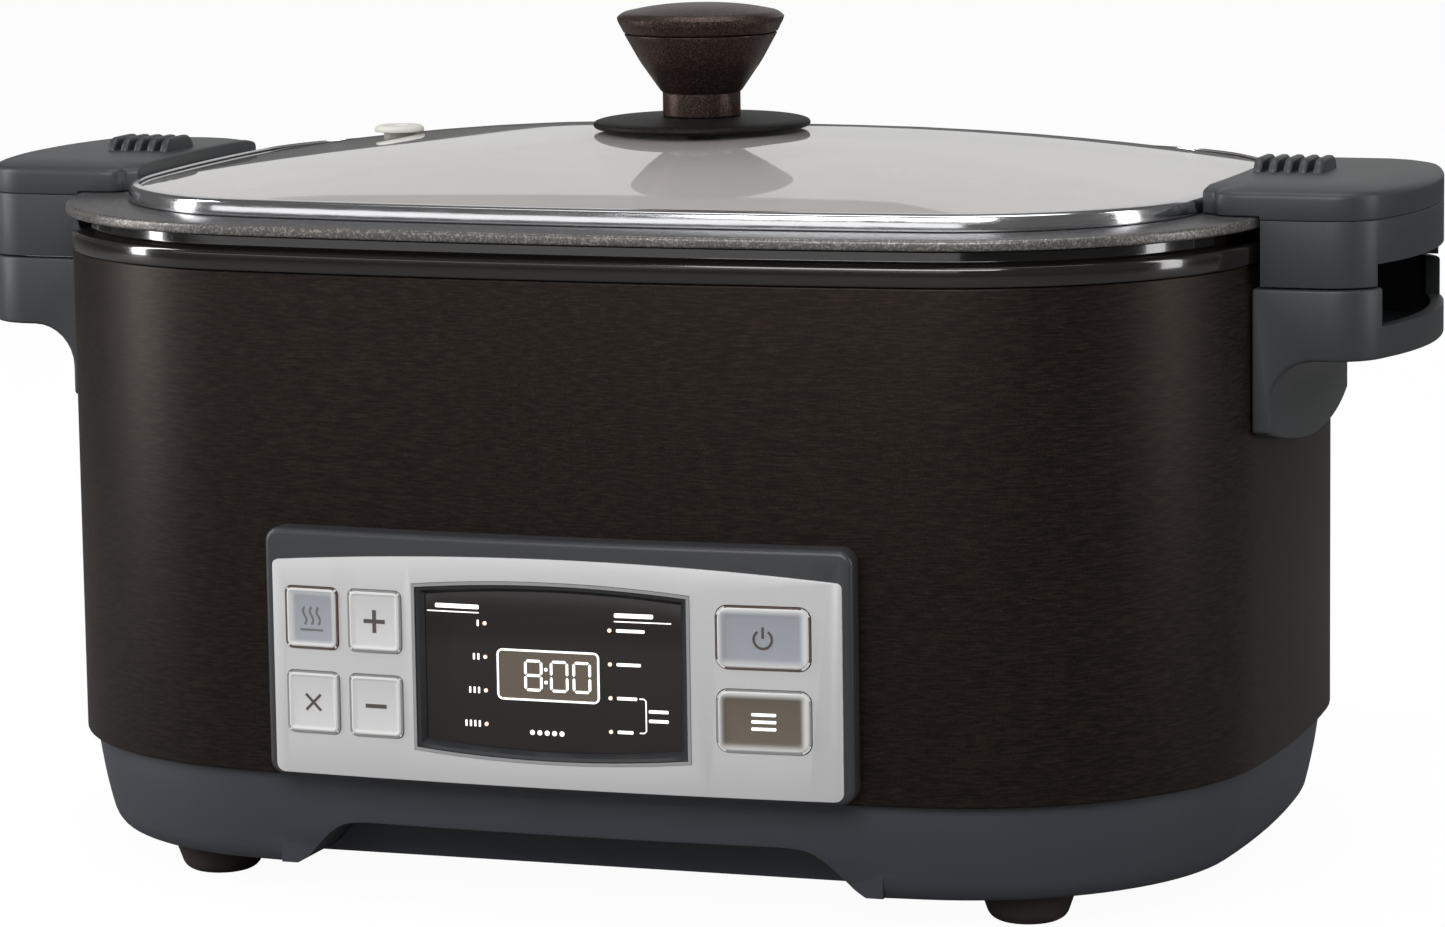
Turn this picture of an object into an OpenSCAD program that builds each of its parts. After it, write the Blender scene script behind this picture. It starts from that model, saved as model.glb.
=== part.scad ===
// Slow cooker: tall housing with a lift-out cooking pot and a glass lid.
// Millimetres. +X is to the user's right, -Y is the front, +Z is up.
// The origin is the centre of the footprint, on the plane that the feet stand on.

/* [Housing] */
// Half the width of the outer shell
shell_half_w = 190; // [184:1:196]
// Half the depth of the outer shell
shell_half_d = 133.5; // [130:0.5:137]
// Corner radius of the outer shell, seen from above
corner_r = 90; // [86:1:94]
// How far the long sides of the shell bow outwards
long_bow = 4.4; // [3:0.1:6]
// How far the short sides of the shell bow outwards
end_bow = 1.65; // [1:0.05:3]
// Height of the lower edge of the shell
shell_bottom = 39.8; // [38:0.2:42]
// Height of the upper edge of the shell
shell_top = 191.1; // [189:0.1:193]
// Sheet thickness of the shell
shell_wall = 1.2; // [0.8:0.1:1.4]
// Height of the base's underside
base_bottom = 10; // [8:0.5:12]

/* [Cooking pot] */
// Height of the underside of the pot's flange
flange_bottom = 201.65; // [201.5:0.05:202]
// Thickness of the pot's flange
flange_t = 3.25; // [2.5:0.05:3.3]
// How far the flange reaches out past the shell
flange_proud = 1.9; // [1:0.1:2]
// Height of the pot's outer floor
pot_floor = 88; // [88:0.5:92]

/* [Lid] */
// Distance from the shell's outline in to the lid's steel rim
lid_inset = 17.65; // [17:0.05:19]
// How far the glass rises from its edge to its middle
glass_rise = 14.5; // [12:0.5:14.5]
// Largest radius of the knob
knob_r = 26; // [24:0.5:28]
// Radius of the disc under the knob
skirt_r = 33.8; // [30:0.2:36]

/* [Handles] */
// Half the length of a handle along the housing's end
handle_half_w = 52; // [50:1:54]
// Largest reach of the handles from the middle of the cooker
handle_reach = 231.5; // [228:0.5:235]
// Underside of the housing handle's tray
tray_bottom = 162.8; // [160:0.2:165]
// Top of the housing handle's tray
tray_top = 184; // [183:0.2:184]
// Number of ribs in each thumb grip
rib_count = 5; // [3:1:6]

/* [Control panel] */
// Half the width of the panel frame
panel_half_w = 91; // [91:0.5:93]
// Lower edge of the panel frame
panel_bottom = 41.4; // [41.4:0.2:42]
// Upper edge of the panel frame
panel_top = 116; // [115:0.5:118]
// How far the panel frame stands out from the shell
panel_depth = 8; // [7.5:0.1:8.2]
// How far a button travels
button_travel = 1; // [0.6:0.1:1]

/* [Hidden] */
$fn = 64;

shell_black = [0.11, 0.10, 0.09];
handle_grey = [0.24, 0.25, 0.26];
base_grey = [0.24, 0.25, 0.28];
steel = [0.75, 0.75, 0.77];
fascia_silver = [0.74, 0.74, 0.74];
button_grey = [0.80, 0.80, 0.80];
board_green = [0.10, 0.35, 0.20];

// ---- plan outline: four shallow bows joined by round corners, inset or outset by d ----
long_r = ((shell_half_w - corner_r) ^ 2 + long_bow ^ 2) / (2 * long_bow);
end_r = ((shell_half_d - corner_r) ^ 2 + end_bow ^ 2) / (2 * end_bow);
long_centre = [0, shell_half_d - long_r];
end_centre = [shell_half_w - end_r, 0];
between = end_centre - long_centre;
gap = norm(between);
along = ((long_r - corner_r) ^ 2 - (end_r - corner_r) ^ 2 + gap ^ 2) / (2 * gap);
aside = sqrt((long_r - corner_r) ^ 2 - along ^ 2);
corner_centre = long_centre + along * between / gap + aside * [between[1], -between[0]] / gap;
corner_from = atan2(corner_centre[1] - end_centre[1], corner_centre[0] - end_centre[0]);
corner_to = atan2(corner_centre[1] - long_centre[1], corner_centre[0] - long_centre[0]);

function arc(centre, r, from, to, steps) = [for (i = [0:steps]) let (a = from + (to - from) * i / steps)
    centre + r * [cos(a), sin(a)]];
function first_but(list, n) = [for (i = [0:len(list) - 1 - n]) list[i]];
function backwards(list) = [for (i = [len(list) - 1:-1:0]) list[i]];
function quarter(d) = concat(
    first_but(arc(end_centre, end_r - d, 0, corner_from, 2), 1),
    first_but(arc(corner_centre, corner_r - d, corner_from, corner_to, 9), 1),
    arc(long_centre, long_r - d, corner_to, 90, 4)
);
function half(q) = concat(q, [for (p = backwards(first_but(q, 1))) [-p[0], p[1]]]);
function plan(d) = let (h = half(quarter(d)))
    concat(h, [for (p = backwards(h)) if (abs(p[1]) > 0.001) [p[0], -p[1]]]);
function at_height(points, z) = [for (p = points) [p[0], p[1], z]];

// Y of the shell's front face at x
function front_y(x) = -(long_centre[1] + sqrt(long_r ^ 2 - x ^ 2));

// A closed skin through rings of points, with flat ends. Each ring runs anticlockwise, seen from above.
module skin(rings) {
    n = len(rings[0]);
    last = len(rings) - 1;
    sides = [for (i = [0:last - 1], j = [0:n - 1]) let (k = (j + 1) % n)
        [i * n + j, (i + 1) * n + j, (i + 1) * n + k, i * n + k]];
    ends = [[for (j = [0:n - 1]) j], [for (j = [n - 1:-1:0]) last * n + j]];
    polyhedron(points = [for (r = rings) each r], faces = concat(sides, ends));
}

// A closed loop of section [inset, height] points along the plan outline
module loop(section) {
    rings = [for (s = section) at_height(plan(s[0]), s[1])];
    n = len(rings[0]);
    m = len(rings);
    faces = [for (i = [0:m - 1], j = [0:n - 1]) let (u = (i + 1) % m, k = (j + 1) % n)
        [i * n + j, u * n + j, u * n + k, i * n + k]];
    polyhedron(points = [for (r = rings) each r], faces = faces);
}

module slab(d, z0, z1) translate([0, 0, z0]) linear_extrude(z1 - z0) polygon(plan(d));

module wall(outer, inner, z0, z1) {
    difference() {
        slab(outer, z0, z1);
        slab(inner, z0 - 1, z1 + 1);
    }
}

// Extrudes a front-view outline, drawn in X and Z, from y0 back to y1
module along_y(y0, y1) translate([0, y1, 0]) rotate([90, 0, 0]) linear_extrude(y1 - y0) children();

// Extrudes an end-view outline, drawn in Y and Z, from x0 to x1
module along_x(x0, x1) translate([x0, 0, 0]) rotate([90, 0, 90]) linear_extrude(x1 - x0) children();

module rod_x(x0, x1, r) translate([x0, 0, 0]) rotate([0, 90, 0]) cylinder(h = x1 - x0, r = r);
module rod_y(y0, y1, r) translate([0, y1, 0]) rotate([90, 0, 0]) cylinder(h = y1 - y0, r = r);
module tube(z0, z1, r, bore) {
    translate([0, 0, z0]) difference() {
        cylinder(h = z1 - z0, r = r);
        translate([0, 0, -1]) cylinder(h = z1 - z0 + 2, r = bore);
    }
}

module rounded(w, h, r) {
    square([w, h - 2 * r], center = true);
    square([w - 2 * r, h], center = true);
    for (x = [-1, 1], y = [-1, 1]) translate([x * (w / 2 - r), y * (h / 2 - r)]) circle(r);
}

// Keeps what lies between two distances in front of the shell
module in_front(near, far) {
    intersection() {
        children();
        wall(-far, -near, panel_bottom - 5, panel_top + 5);
    }
}

module on_side(side) {
    if (side < 0) mirror([1, 0, 0]) children();
    else children();
}

// ---- housing ----
hem = 6;
collar_top = 197.3;
seat_top = flange_bottom - 0.25;
collar_seat = 6;
well_inset = 22;
well_wall = 1.2;
well_floor = 70;
well_lip = 14;
window_half_w = 82;
window_z = [46.6, 110.6];
handle_screw_y = 30;
handle_screw_z = 150;

module outer_shell() {
    color(shell_black) difference() {
        union() {
            wall(0, shell_wall, shell_bottom, shell_top);
            wall(0, hem, shell_bottom, shell_bottom + shell_wall);
            wall(0, hem + 2, shell_top - shell_wall, shell_top);
        }
        translate([-window_half_w, -shell_half_d - 5, window_z[0]])
            cube([2 * window_half_w, 20, window_z[1] - window_z[0]]);
        for (side = [-1, 1], y = [-1, 1]) on_side(side)
            translate([0, y * handle_screw_y, handle_screw_z]) rod_x(180, 200, 2.2);
    }
}

module top_collar() {
    color(shell_black) union() {
        wall(-1, collar_seat, shell_top, collar_top);
        wall(collar_seat, well_inset - 2, shell_top, seat_top);
    }
}

post_x = 100;
post_y = 55;
post_r = 4;
terminal_x = 12;
terminal_y = 50;
terminal_bottom = 58;
screw_r = 2;
screw_hole_r = 2.2;
screw_head_r = 4;

// At each of the four screws that hold the base and the well together
module at_posts(z) for (x = [-1, 1], y = [-1, 1]) translate([x * post_x, y * post_y, z]) children();

module heating_well() {
    color(steel) difference() {
        union() {
            wall(well_inset, well_inset + well_wall, well_floor, shell_top);
            wall(well_lip, well_inset + well_wall, shell_top - well_wall, shell_top);
            slab(well_inset + well_wall - 0.2, well_floor, well_floor + well_wall);
        }
        translate([0, 0, well_floor - 1]) cylinder(h = 4, r = 9);
        for (x = [-1, 1]) translate([x * terminal_x, terminal_y, well_floor - 1]) cylinder(h = 4, r = 4);
        at_posts(well_floor - 1) cylinder(h = 4, r = screw_hole_r);
    }
}

module well_insulation() {
    color([0.85, 0.82, 0.70]) wall(well_lip + 0.5, well_inset - 0.5, well_floor + 2, shell_top - 6);
}

plate_top = pot_floor - 0.3;
plate_bottom = 76;
plate_inset = 58;

module heating_plate() {
    color([0.62, 0.62, 0.64]) difference() {
        union() {
            slab(plate_inset, plate_bottom, plate_top);
            for (x = [-1, 1], y = [-1, 1]) translate([x * 95, y * 40, well_floor + well_wall])
                cylinder(h = plate_bottom - well_floor - well_wall + 1, r = 5);
        }
        translate([0, 0, plate_bottom - 1]) cylinder(h = 20, r = 17);
    }
}

module heating_element() {
    color([0.35, 0.30, 0.28]) union() {
        wall(75, 83, well_floor + 2.2, plate_bottom);
        for (x = [-1, 1]) translate([x * terminal_x, terminal_y, terminal_bottom]) cylinder(h = 15, r = 2.5);
    }
}

stem_r = 4.5;
stem_bottom = 56;
sensor_cap_bottom = 79.7;
sensor_cap_r = 13;
guide_bottom = 60;

module sensor_guide() {
    flange_z = well_floor - 3;
    color(steel) union() {
        tube(flange_z, well_floor, 15, stem_r + 0.05);
        tube(guide_bottom, flange_z, 7.5, stem_r + 0.05);
    }
}

module sensor_plunger() {
    color([0.55, 0.56, 0.58]) union() {
        translate([0, 0, sensor_cap_bottom]) cylinder(h = plate_top - sensor_cap_bottom, r = sensor_cap_r);
        translate([0, 0, stem_bottom]) cylinder(h = sensor_cap_bottom - stem_bottom + 0.3, r = stem_r);
        translate([0, 0, stem_bottom + 2.2]) cylinder(h = 1.5, r = 6.5);
    }
}

// One wire along a route of centres, with the given number of sides
module wire(route, r, sides) {
    n = len(route);
    rings = [for (i = [0:n - 1]) let (
        t = route[min(i + 1, n - 1)] - route[max(i - 1, 0)],
        t1 = t / norm(t),
        up = abs(t1[2]) > 0.9 ? [1, 0, 0] : [0, 0, 1],
        u = cross(up, t1) / norm(cross(up, t1)),
        v = cross(t1, u)
    ) [for (j = [0:sides - 1]) route[i] + r * (cos(360 * j / sides) * u + sin(360 * j / sides) * v)]];
    skin(rings);
}

function bezier(p, steps) = [for (i = [0:steps]) let (t = i / steps)
    (1 - t) ^ 3 * p[0] + 3 * t * (1 - t) ^ 2 * p[1] + 3 * t ^ 2 * (1 - t) * p[2] + t ^ 3 * p[3]];

module sensor_spring() {
    turns = 5;
    per_turn = 12;
    low = well_floor + 0.8;
    rise = 8;
    color(steel) wire(
        [for (i = [0:turns * per_turn]) let (a = 360 * i / per_turn)
            [7 * cos(a), 7 * sin(a), low + rise * i / (turns * per_turn)]],
        0.6, 6);
}

shield_z = 62;

module heat_shield() {
    tab = 10;
    color([0.80, 0.80, 0.78]) difference() {
        union() {
            slab(40, shield_z, shield_z + 0.6);
            for (x = [-1, 1]) translate([x * 70 - tab / 2, -tab / 2, shield_z + 0.5])
                cube([tab, tab, well_floor - shield_z - 0.5]);
        }
        translate([0, 0, shield_z - 1]) cylinder(h = 3, r = 16);
        for (x = [-1, 1]) translate([x * terminal_x, terminal_y, shield_z - 1]) cylinder(h = 3, r = 6);
        at_posts(shield_z - 1) cylinder(h = 3, r = post_r + 0.6);
    }
}

base_floor = base_bottom + 3;

module well_posts() color(steel) at_posts(0) tube(base_floor, well_floor, post_r, screw_r + 0.05);

module thermal_fuse() {
    color([0.90, 0.88, 0.82]) translate([34, 0, 66.3]) rod_x(0, 14, 3.4);
}

// ---- base ----
inlet_x = 60;
inlet_z = 27;
inlet_w = 32;
inlet_h = 24;
inlet_front = 112;
pin_r = 2;
rear_reach = 142.5;
foot_x = 129.5;
foot_y = 89.5;
recess_top = 25.5;
recess_depth = 35;

recess_side = [[92, 0], [88, base_bottom + 2], [84, base_bottom + 5], [77, recess_top - 3], [71, recess_top]];
recess_outline = concat([for (p = recess_side) [-p[0], p[1]]], backwards(recess_side));
// Inset and height of the base's outside, from the bottom up
base_section = [[12, base_bottom], [9, base_bottom + 1.2], [7.1, base_bottom + 4], [3, shell_bottom]];

module base_tray() {
    color(base_grey) difference() {
        union() {
            difference() {
                skin([for (s = base_section) at_height(plan(s[0]), s[1])]);
                slab(10.5, base_floor, shell_bottom + 1);
            }
            intersection() {
                slab(9.5, base_bottom + 1, recess_top + 3);
                translate([-95, -shell_half_d, 0]) cube([190, recess_depth + 8, 60]);
            }
            for (x = [-120, -20], y = [-40, 40]) translate([x, y, base_floor - 1]) cylinder(h = 8, r = 3.5);
        }
        along_y(-shell_half_d - 5, -shell_half_d + recess_depth + 5) polygon(recess_outline);
        at_posts(0) cylinder(h = 30, r = screw_hole_r);
        for (x = [-1, 1], y = [-1, 1]) translate([x * foot_x, y * foot_y, 0]) cylinder(h = 30, r = 4.1);
        along_y(100, 150) translate([inlet_x, inlet_z]) rounded(inlet_w + 0.3, inlet_h + 0.3, 3);
        for (i = [0:7]) translate([30 + i * 8, -20, 0]) cube([3, 40, 20]);
    }
}

module foot(x, y) {
    color([0.16, 0.12, 0.11]) translate([x, y, 0]) rotate_extrude()
        polygon([[0, 0], [8.5, 0], [11.5, 1.2], [13, 4], [14, base_bottom], [4, base_bottom],
            [4, base_floor], [0, base_floor]]);
}
module foot_front_left() foot(-foot_x, -foot_y);
module foot_front_right() foot(foot_x, -foot_y);
module foot_rear_left() foot(-foot_x, foot_y);
module foot_rear_right() foot(foot_x, foot_y);

module base_screws() {
    color(steel) {
        at_posts(base_bottom - 2) cylinder(h = 2, r = screw_head_r);
        at_posts(base_bottom - 1) cylinder(h = 20, r = screw_r);
    }
}

board_z = base_floor + 7;

board_t = 1.6;

module power_board() color(board_green) translate([-125, -45, board_z]) cube([110, 90, board_t]);

module power_components() {
    z = board_z + board_t;
    color([0.15, 0.15, 0.17]) {
        translate([-112, -32, z]) cube([24, 18, 16]);
        translate([-76, -4, z]) cube([34, 28, 22]);
        translate([-100, 20, z]) cylinder(h = 20, r = 8);
        translate([-60, -40, z]) cube([36, 10, 12]);
        translate([-80, -36, z]) cube([12, 20, 9]);
    }
}

// A lead between two faces: each end leaves its face squarely, and stands just clear of it
module lead(from, leave, arrive, to, r) {
    out = (leave - from) / norm(leave - from);
    back = (arrive - to) / norm(arrive - to);
    wire(concat([from + 0.08 * out], bezier([from + 3 * out, leave, arrive, to + 3 * back], 14),
        [to + 0.08 * back]), r, 8);
}

module wiring_harness() {
    connector = [-42, -35, board_z + board_t + 12];
    supply_side = -24;
    transformer_side = -42;
    color([0.70, 0.20, 0.15]) {
        lead(connector, connector + [0, 0, 24], [0, -95, 58], [0, board_back, 58], 2.4);
        lead([terminal_x, terminal_y, terminal_bottom], [terminal_x, terminal_y, 36],
            [0, 12, 40], [transformer_side, 12, 40], 1.6);
        lead([-terminal_x, terminal_y, terminal_bottom], [-terminal_x, terminal_y, 36],
            [-24, 2, 30], [transformer_side, 2, 30], 1.6);
        lead([inlet_x, inlet_front, inlet_z], [inlet_x, inlet_front - 32, inlet_z],
            [20, -35, 28], [supply_side, -35, 28], 2.8);
    }
}

module mains_inlet() {
    color([0.12, 0.12, 0.13]) difference() {
        along_y(inlet_front, rear_reach) translate([inlet_x, inlet_z]) rounded(inlet_w, inlet_h, 3);
        along_y(inlet_front + 10, rear_reach + 1) translate([inlet_x, inlet_z])
            rounded(inlet_w - 8, inlet_h - 8, 2);
        at_pins() rod_y(inlet_front + 4, inlet_front + 11, pin_r + 0.05);
    }
}

module inlet_pins() color(steel) at_pins() rod_y(inlet_front + 4, inlet_front + 26, pin_r);

module at_pins() for (x = [-5, 5]) translate([inlet_x + x, 0, inlet_z]) children();

// ---- control panel ----
fascia_t = 0.8;
cover_t = 2.6;
fascia_half_w = 88;
fascia_bottom = 42.6;
fascia_side_top = 106.5;
fascia_arc_rise = 4;
display_x = 0;
display_half_w = 43;
display_z = [51.9, 101.6];
display_bow = 2.2;
// How far the window's front and the lamps stand in front of the shell
window_front = 6.1;
lamp_depth = 4;
board_front = -124.5;
board_back = -122.9;
switch_tip = -129.3;
screw_x = 62;
screw_z = [50.5, 105];
panel_screw_r = 1;
module at_panel_screws() for (x = [-1, 1], z = screw_z) translate([x * screw_x, 0, z]) children();

// Extrudes a front-view outline right through the panel's depth
module through() along_y(-160, -100) children();

// Centre and size of each button, seen from the front: [x, z, width, height, corner radius]
keep_warm_at = [-75.2, 89.7, 17.5, 19, 2.5];
plus_at = [-54.8, 89.7, 17.5, 19, 2.5];
cancel_at = [-75.2, 64.3, 17.5, 19, 2.5];
minus_at = [-54.8, 64.3, 17.5, 19, 2.5];
power_at = [64.8, 90, 28.6, 19, 4];
menu_at = [64.8, 65.5, 28.6, 19, 4];
buttons = [keep_warm_at, plus_at, cancel_at, minus_at, power_at, menu_at];

// A shallow arc from [-w, z] to [w, z] that rises by the bow in the middle
function bowed_edge(w, z, bow, steps) = [for (i = [0:steps]) let (x = -w + 2 * w * i / steps)
    [x, z + bow * (1 - (x / w) ^ 2)]];

module fascia_outline() polygon(concat([[-fascia_half_w, fascia_bottom], [fascia_half_w, fascia_bottom]],
    backwards(bowed_edge(fascia_half_w, fascia_side_top, fascia_arc_rise, 16))));

module display_outline(d) translate([display_x, 0]) polygon(concat(
    bowed_edge(display_half_w - d, display_z[0] + d, -display_bow, 12),
    backwards(bowed_edge(display_half_w - d, display_z[1] - d, display_bow, 12))));

module button_holes() for (b = buttons) translate([b[0], b[1]]) rounded(b[2], b[3], b[4]);

module panel_frame() {
    panel_mid = (panel_top + panel_bottom) / 2;
    color([0.27, 0.28, 0.29]) difference() {
        in_front(0.1, panel_depth) through() translate([0, panel_mid])
            rounded(2 * panel_half_w, panel_top - panel_bottom, 4.5);
        in_front(0, panel_depth - cover_t) through() translate([0, panel_mid + 0.1])
            rounded(2 * panel_half_w - 8, panel_top - panel_bottom - 10, 2);
        through() button_holes();
        through() display_outline(0);
    }
    color([0.27, 0.28, 0.29]) at_panel_screws() difference() {
        rod_y(front_y(screw_x) - panel_depth + cover_t - 0.4, board_front, 2.3);
        rod_y(board_front - 7, board_front + 1, panel_screw_r + 0.05);
    }
}

module panel_fascia() {
    color(fascia_silver) in_front(panel_depth, panel_depth + fascia_t) through() difference() {
        fascia_outline();
        button_holes();
        display_outline(0);
    }
}

module display_bezel() {
    color([0.20, 0.20, 0.21]) in_front(window_front + 0.1, panel_depth + 1) through() difference() {
        display_outline(0.15);
        display_outline(3.2);
    }
}

module display_window() {
    color([0.10, 0.08, 0.08, 0.6]) in_front(window_front - 1.5, window_front) through() display_outline(0.5);
}

module display_module() {
    color([0.40, 0.37, 0.32]) translate([-18.5, front_y(0) - lamp_depth, 66.5])
        cube([34.5, board_front - front_y(0) + lamp_depth, 18.2]);
}

module led_indicators() {
    left = [for (i = [0:3]) [-20.9, 60.4 + i * 10]];
    right = [for (i = [0:3]) [17.8, 60 + i * 10]];
    color([0.95, 0.80, 0.60]) for (p = concat(left, right)) translate([p[0], 0, p[1]])
        rod_y(front_y(20) - lamp_depth, board_front, 1.4);
}

module control_board() {
    color(board_green) difference() {
        translate([-80, board_front, window_z[0] + 1]) cube([160, board_back - board_front, 62]);
        at_panel_screws() rod_y(board_front - 1, board_back + 1, panel_screw_r + 0.2);
    }
}

module button_switches() {
    color([0.20, 0.20, 0.22]) for (b = buttons) translate([b[0], 0, b[1]]) {
        translate([-3, board_front - 3.5, -3]) cube([6, 3.5, 6]);
        rod_y(switch_tip, board_front - 3, 1.7);
    }
}

module panel_screws() {
    color(steel) at_panel_screws() {
        rod_y(board_back, board_back + 1.5, 2.2);
        rod_y(board_front - 5, board_back + 0.5, panel_screw_r);
    }
}

module button(b) {
    flange_front = panel_depth - cover_t - 0.2;
    union() {
        in_front(flange_front - 0.8, panel_depth + 1.5) through() translate([b[0], b[1]])
            rounded(b[2] - 0.7, b[3] - 0.7, b[4] - 0.3);
        in_front(flange_front - 0.8, flange_front) through() translate([b[0], b[1]])
            rounded(b[2] + 1.4, b[3] + 1.4, 1);
        translate([b[0], 0, b[1]])
            rod_y(front_y(b[0]) - flange_front - 0.5, switch_tip - button_travel - 0.2, 2.3);
    }
}
module button_keep_warm() color([0.50, 0.53, 0.58]) button(keep_warm_at);
module button_plus() color(button_grey) button(plus_at);
module button_cancel() color(button_grey) button(cancel_at);
module button_minus() color(button_grey) button(minus_at);
module button_power() color([0.50, 0.53, 0.58]) button(power_at);
module button_menu() color([0.41, 0.38, 0.34]) button(menu_at);

// ---- handles, drawn on the right-hand end and mirrored for the left ----
end_round = 120.6;
side_round = 16;
end_mid = handle_reach - end_round;
side_mid_y = handle_half_w - side_round;
side_mid_x = end_mid + sqrt((end_round - side_round) ^ 2 - side_mid_y ^ 2);
turn = atan2(side_mid_y, side_mid_x - end_mid);

// Plan of a handle, shrunk by d, from its inner points round its outer end
function handle_plan(inner, d) = concat(
    [for (p = inner) [p[0], -(p[1] - d)]],
    first_but(arc([side_mid_x, -side_mid_y], side_round - d, -90, -turn, 6), 1),
    first_but(arc([end_mid, 0], end_round - d, -turn, turn, 8), 1),
    arc([side_mid_x, side_mid_y], side_round - d, turn, 90, 6),
    [for (p = backwards(inner)) [p[0], p[1] - d]]
);
straight_in = [[150, handle_half_w]];
module handle_block(d, z0, z1)
    translate([0, 0, z0]) linear_extrude(z1 - z0) polygon(handle_plan(straight_in, d));

pad_t = 5.5;
pad_low = 134.5;
pad_edge_low = 141;
tray_wall = 4;
notch_half_w = 41;
notch_bottom = 172.4;
tray_floor = tray_bottom + 4;
housing_gap = 0.1;

module housing_handle(side) {
    color(handle_grey) on_side(side) difference() {
        union() {
            handle_block(0, tray_bottom, tray_top);
            intersection() {
                slab(-pad_t, pad_low - 1, tray_top);
                along_x(150, 210) polygon(concat(
                    bowed_edge(handle_half_w, pad_edge_low, pad_low - pad_edge_low, 12),
                    [[handle_half_w, tray_top], [-handle_half_w, tray_top]]));
            }
        }
        slab(-housing_gap, pad_low - 2, tray_top + 1);
        difference() {
            handle_block(tray_wall, tray_floor, tray_top + 1);
            slab(-tray_wall, tray_floor - 1, tray_top + 2);
        }
        translate([handle_reach - 16, -notch_half_w, notch_bottom]) cube([30, 2 * notch_half_w, 30]);
        for (y = [-1, 1]) translate([0, y * handle_screw_y, handle_screw_z]) rod_x(185, 193.6, 1.85);
    }
}
module housing_handle_left() housing_handle(-1);
module housing_handle_right() housing_handle(1);

module housing_handle_screws() {
    color(steel) for (side = [-1, 1], y = [-1, 1]) on_side(side)
        translate([0, y * handle_screw_y, handle_screw_z]) {
            rod_x(185.6, 187.7, 4);
            rod_x(187, 193.4, 1.8);
        }
}

pot_handle_bottom = tray_top + 0.5;
parting = 204;
scoop_half_w = 43;
scoop_top = 191;
pot_handle_wall = 3;
pot_handle_gap = 2.6;
bracket_z = [flange_bottom - 1.5, flange_bottom];
bracket_half_w = 25;
bracket_screw = [203, 15];

module pot_handle_body(side) {
    floor_z = scoop_top + pot_handle_wall;
    color(handle_grey) on_side(side) difference() {
        union() {
            difference() {
                handle_block(0, pot_handle_bottom, parting);
                slab(-pot_handle_gap, pot_handle_bottom - 1, parting + 1);
                difference() {
                    handle_block(pot_handle_wall, floor_z, parting + 1);
                    slab(-pot_handle_gap - pot_handle_wall, floor_z - 1, parting + 2);
                }
                translate([207, -scoop_half_w, pot_handle_bottom - 1])
                    cube([40, 2 * scoop_half_w, scoop_top - pot_handle_bottom + 1]);
            }
            for (y = [-1, 1]) translate([bracket_screw[0], y * bracket_screw[1], floor_z - 1])
                cylinder(h = bracket_z[0] - floor_z + 1, r = 5);
        }
        translate([180, -bracket_half_w - 0.3, bracket_z[0] - 0.1]) cube([25, 2 * bracket_half_w + 0.6, 1.8]);
        for (y = [-1, 1]) translate([bracket_screw[0], y * bracket_screw[1], 0]) {
            translate([0, 0, pot_handle_bottom - 1]) cylinder(h = 30, r = 2.2);
            translate([0, 0, pot_handle_bottom - 1]) cylinder(h = 5, r = 4.5);
        }
    }
}
module pot_handle_body_left() pot_handle_body(-1);
module pot_handle_body_right() pot_handle_body(1);

cover_levels = [[0, parting], [0, 207], [0.7, 210.5], [3.5, 212.6], [9, 214]];
rib_pitch = 4.6;
rib_t = 2.5;
rib_x = 188.5;
rib_top = 218;
cover_inner = [[166, 43], [176, 46], [188, handle_half_w]];

module pot_handle_cover(side) {
    color(handle_grey) on_side(side) union() {
        difference() {
            hull() for (level = cover_levels) translate([0, 0, level[1] - (level[1] > parting ? 0.1 : 0)])
                linear_extrude(0.1) polygon(handle_plan(cover_inner, level[0]));
            slab(lid_inset - 1.05, parting - 1, rib_top + 5);
            slab(-flange_proud - 0.4, parting - 1, flange_bottom + flange_t + 0.2);
            difference() {
                handle_block(pot_handle_wall + 1, parting - 1, 208.5);
                slab(-pot_handle_gap - pot_handle_wall, parting - 2, 212);
            }
        }
        for (i = [0:rib_count - 1]) {
            x = rib_x + (i - (rib_count - 1) / 2) * rib_pitch;
            along_x(x - rib_t / 2, x + rib_t / 2)
                polygon([[-10.5, 212.5], [-10.5, 214.8], [-8.5, 217.2], [-5.5, rib_top], [6, rib_top],
                    [9.5, 216.6], [11, 214.5], [11, 212.5]]);
        }
        for (y = [-1, 1]) translate([bracket_screw[0], y * bracket_screw[1], 0]) difference() {
            translate([0, 0, bracket_z[1] + 0.2]) cylinder(h = 8, r = 5);
            translate([0, 0, bracket_z[1] - 1]) cylinder(h = 7, r = 2.05);
        }
    }
}
module pot_handle_cover_left() pot_handle_cover(-1);
module pot_handle_cover_right() pot_handle_cover(1);

module pot_handle_brackets() {
    color(steel) for (side = [-1, 1]) on_side(side) difference() {
        translate([185.6, -bracket_half_w, bracket_z[0]])
            cube([24, 2 * bracket_half_w, bracket_z[1] - bracket_z[0]]);
        for (y = [-1, 1]) translate([bracket_screw[0], y * bracket_screw[1], 190]) cylinder(h = 20, r = 2.2);
    }
}

module pot_handle_screws() {
    low = pot_handle_bottom + 1;
    color(steel) for (side = [-1, 1], y = [-1, 1]) on_side(side)
        translate([bracket_screw[0], y * bracket_screw[1], low]) {
            cylinder(h = 2.8, r = screw_head_r);
            cylinder(h = parting + 2 - low, r = screw_r);
        }
}

// ---- pot ----
flange_top = flange_bottom + flange_t;
pot_wall = 3;

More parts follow.
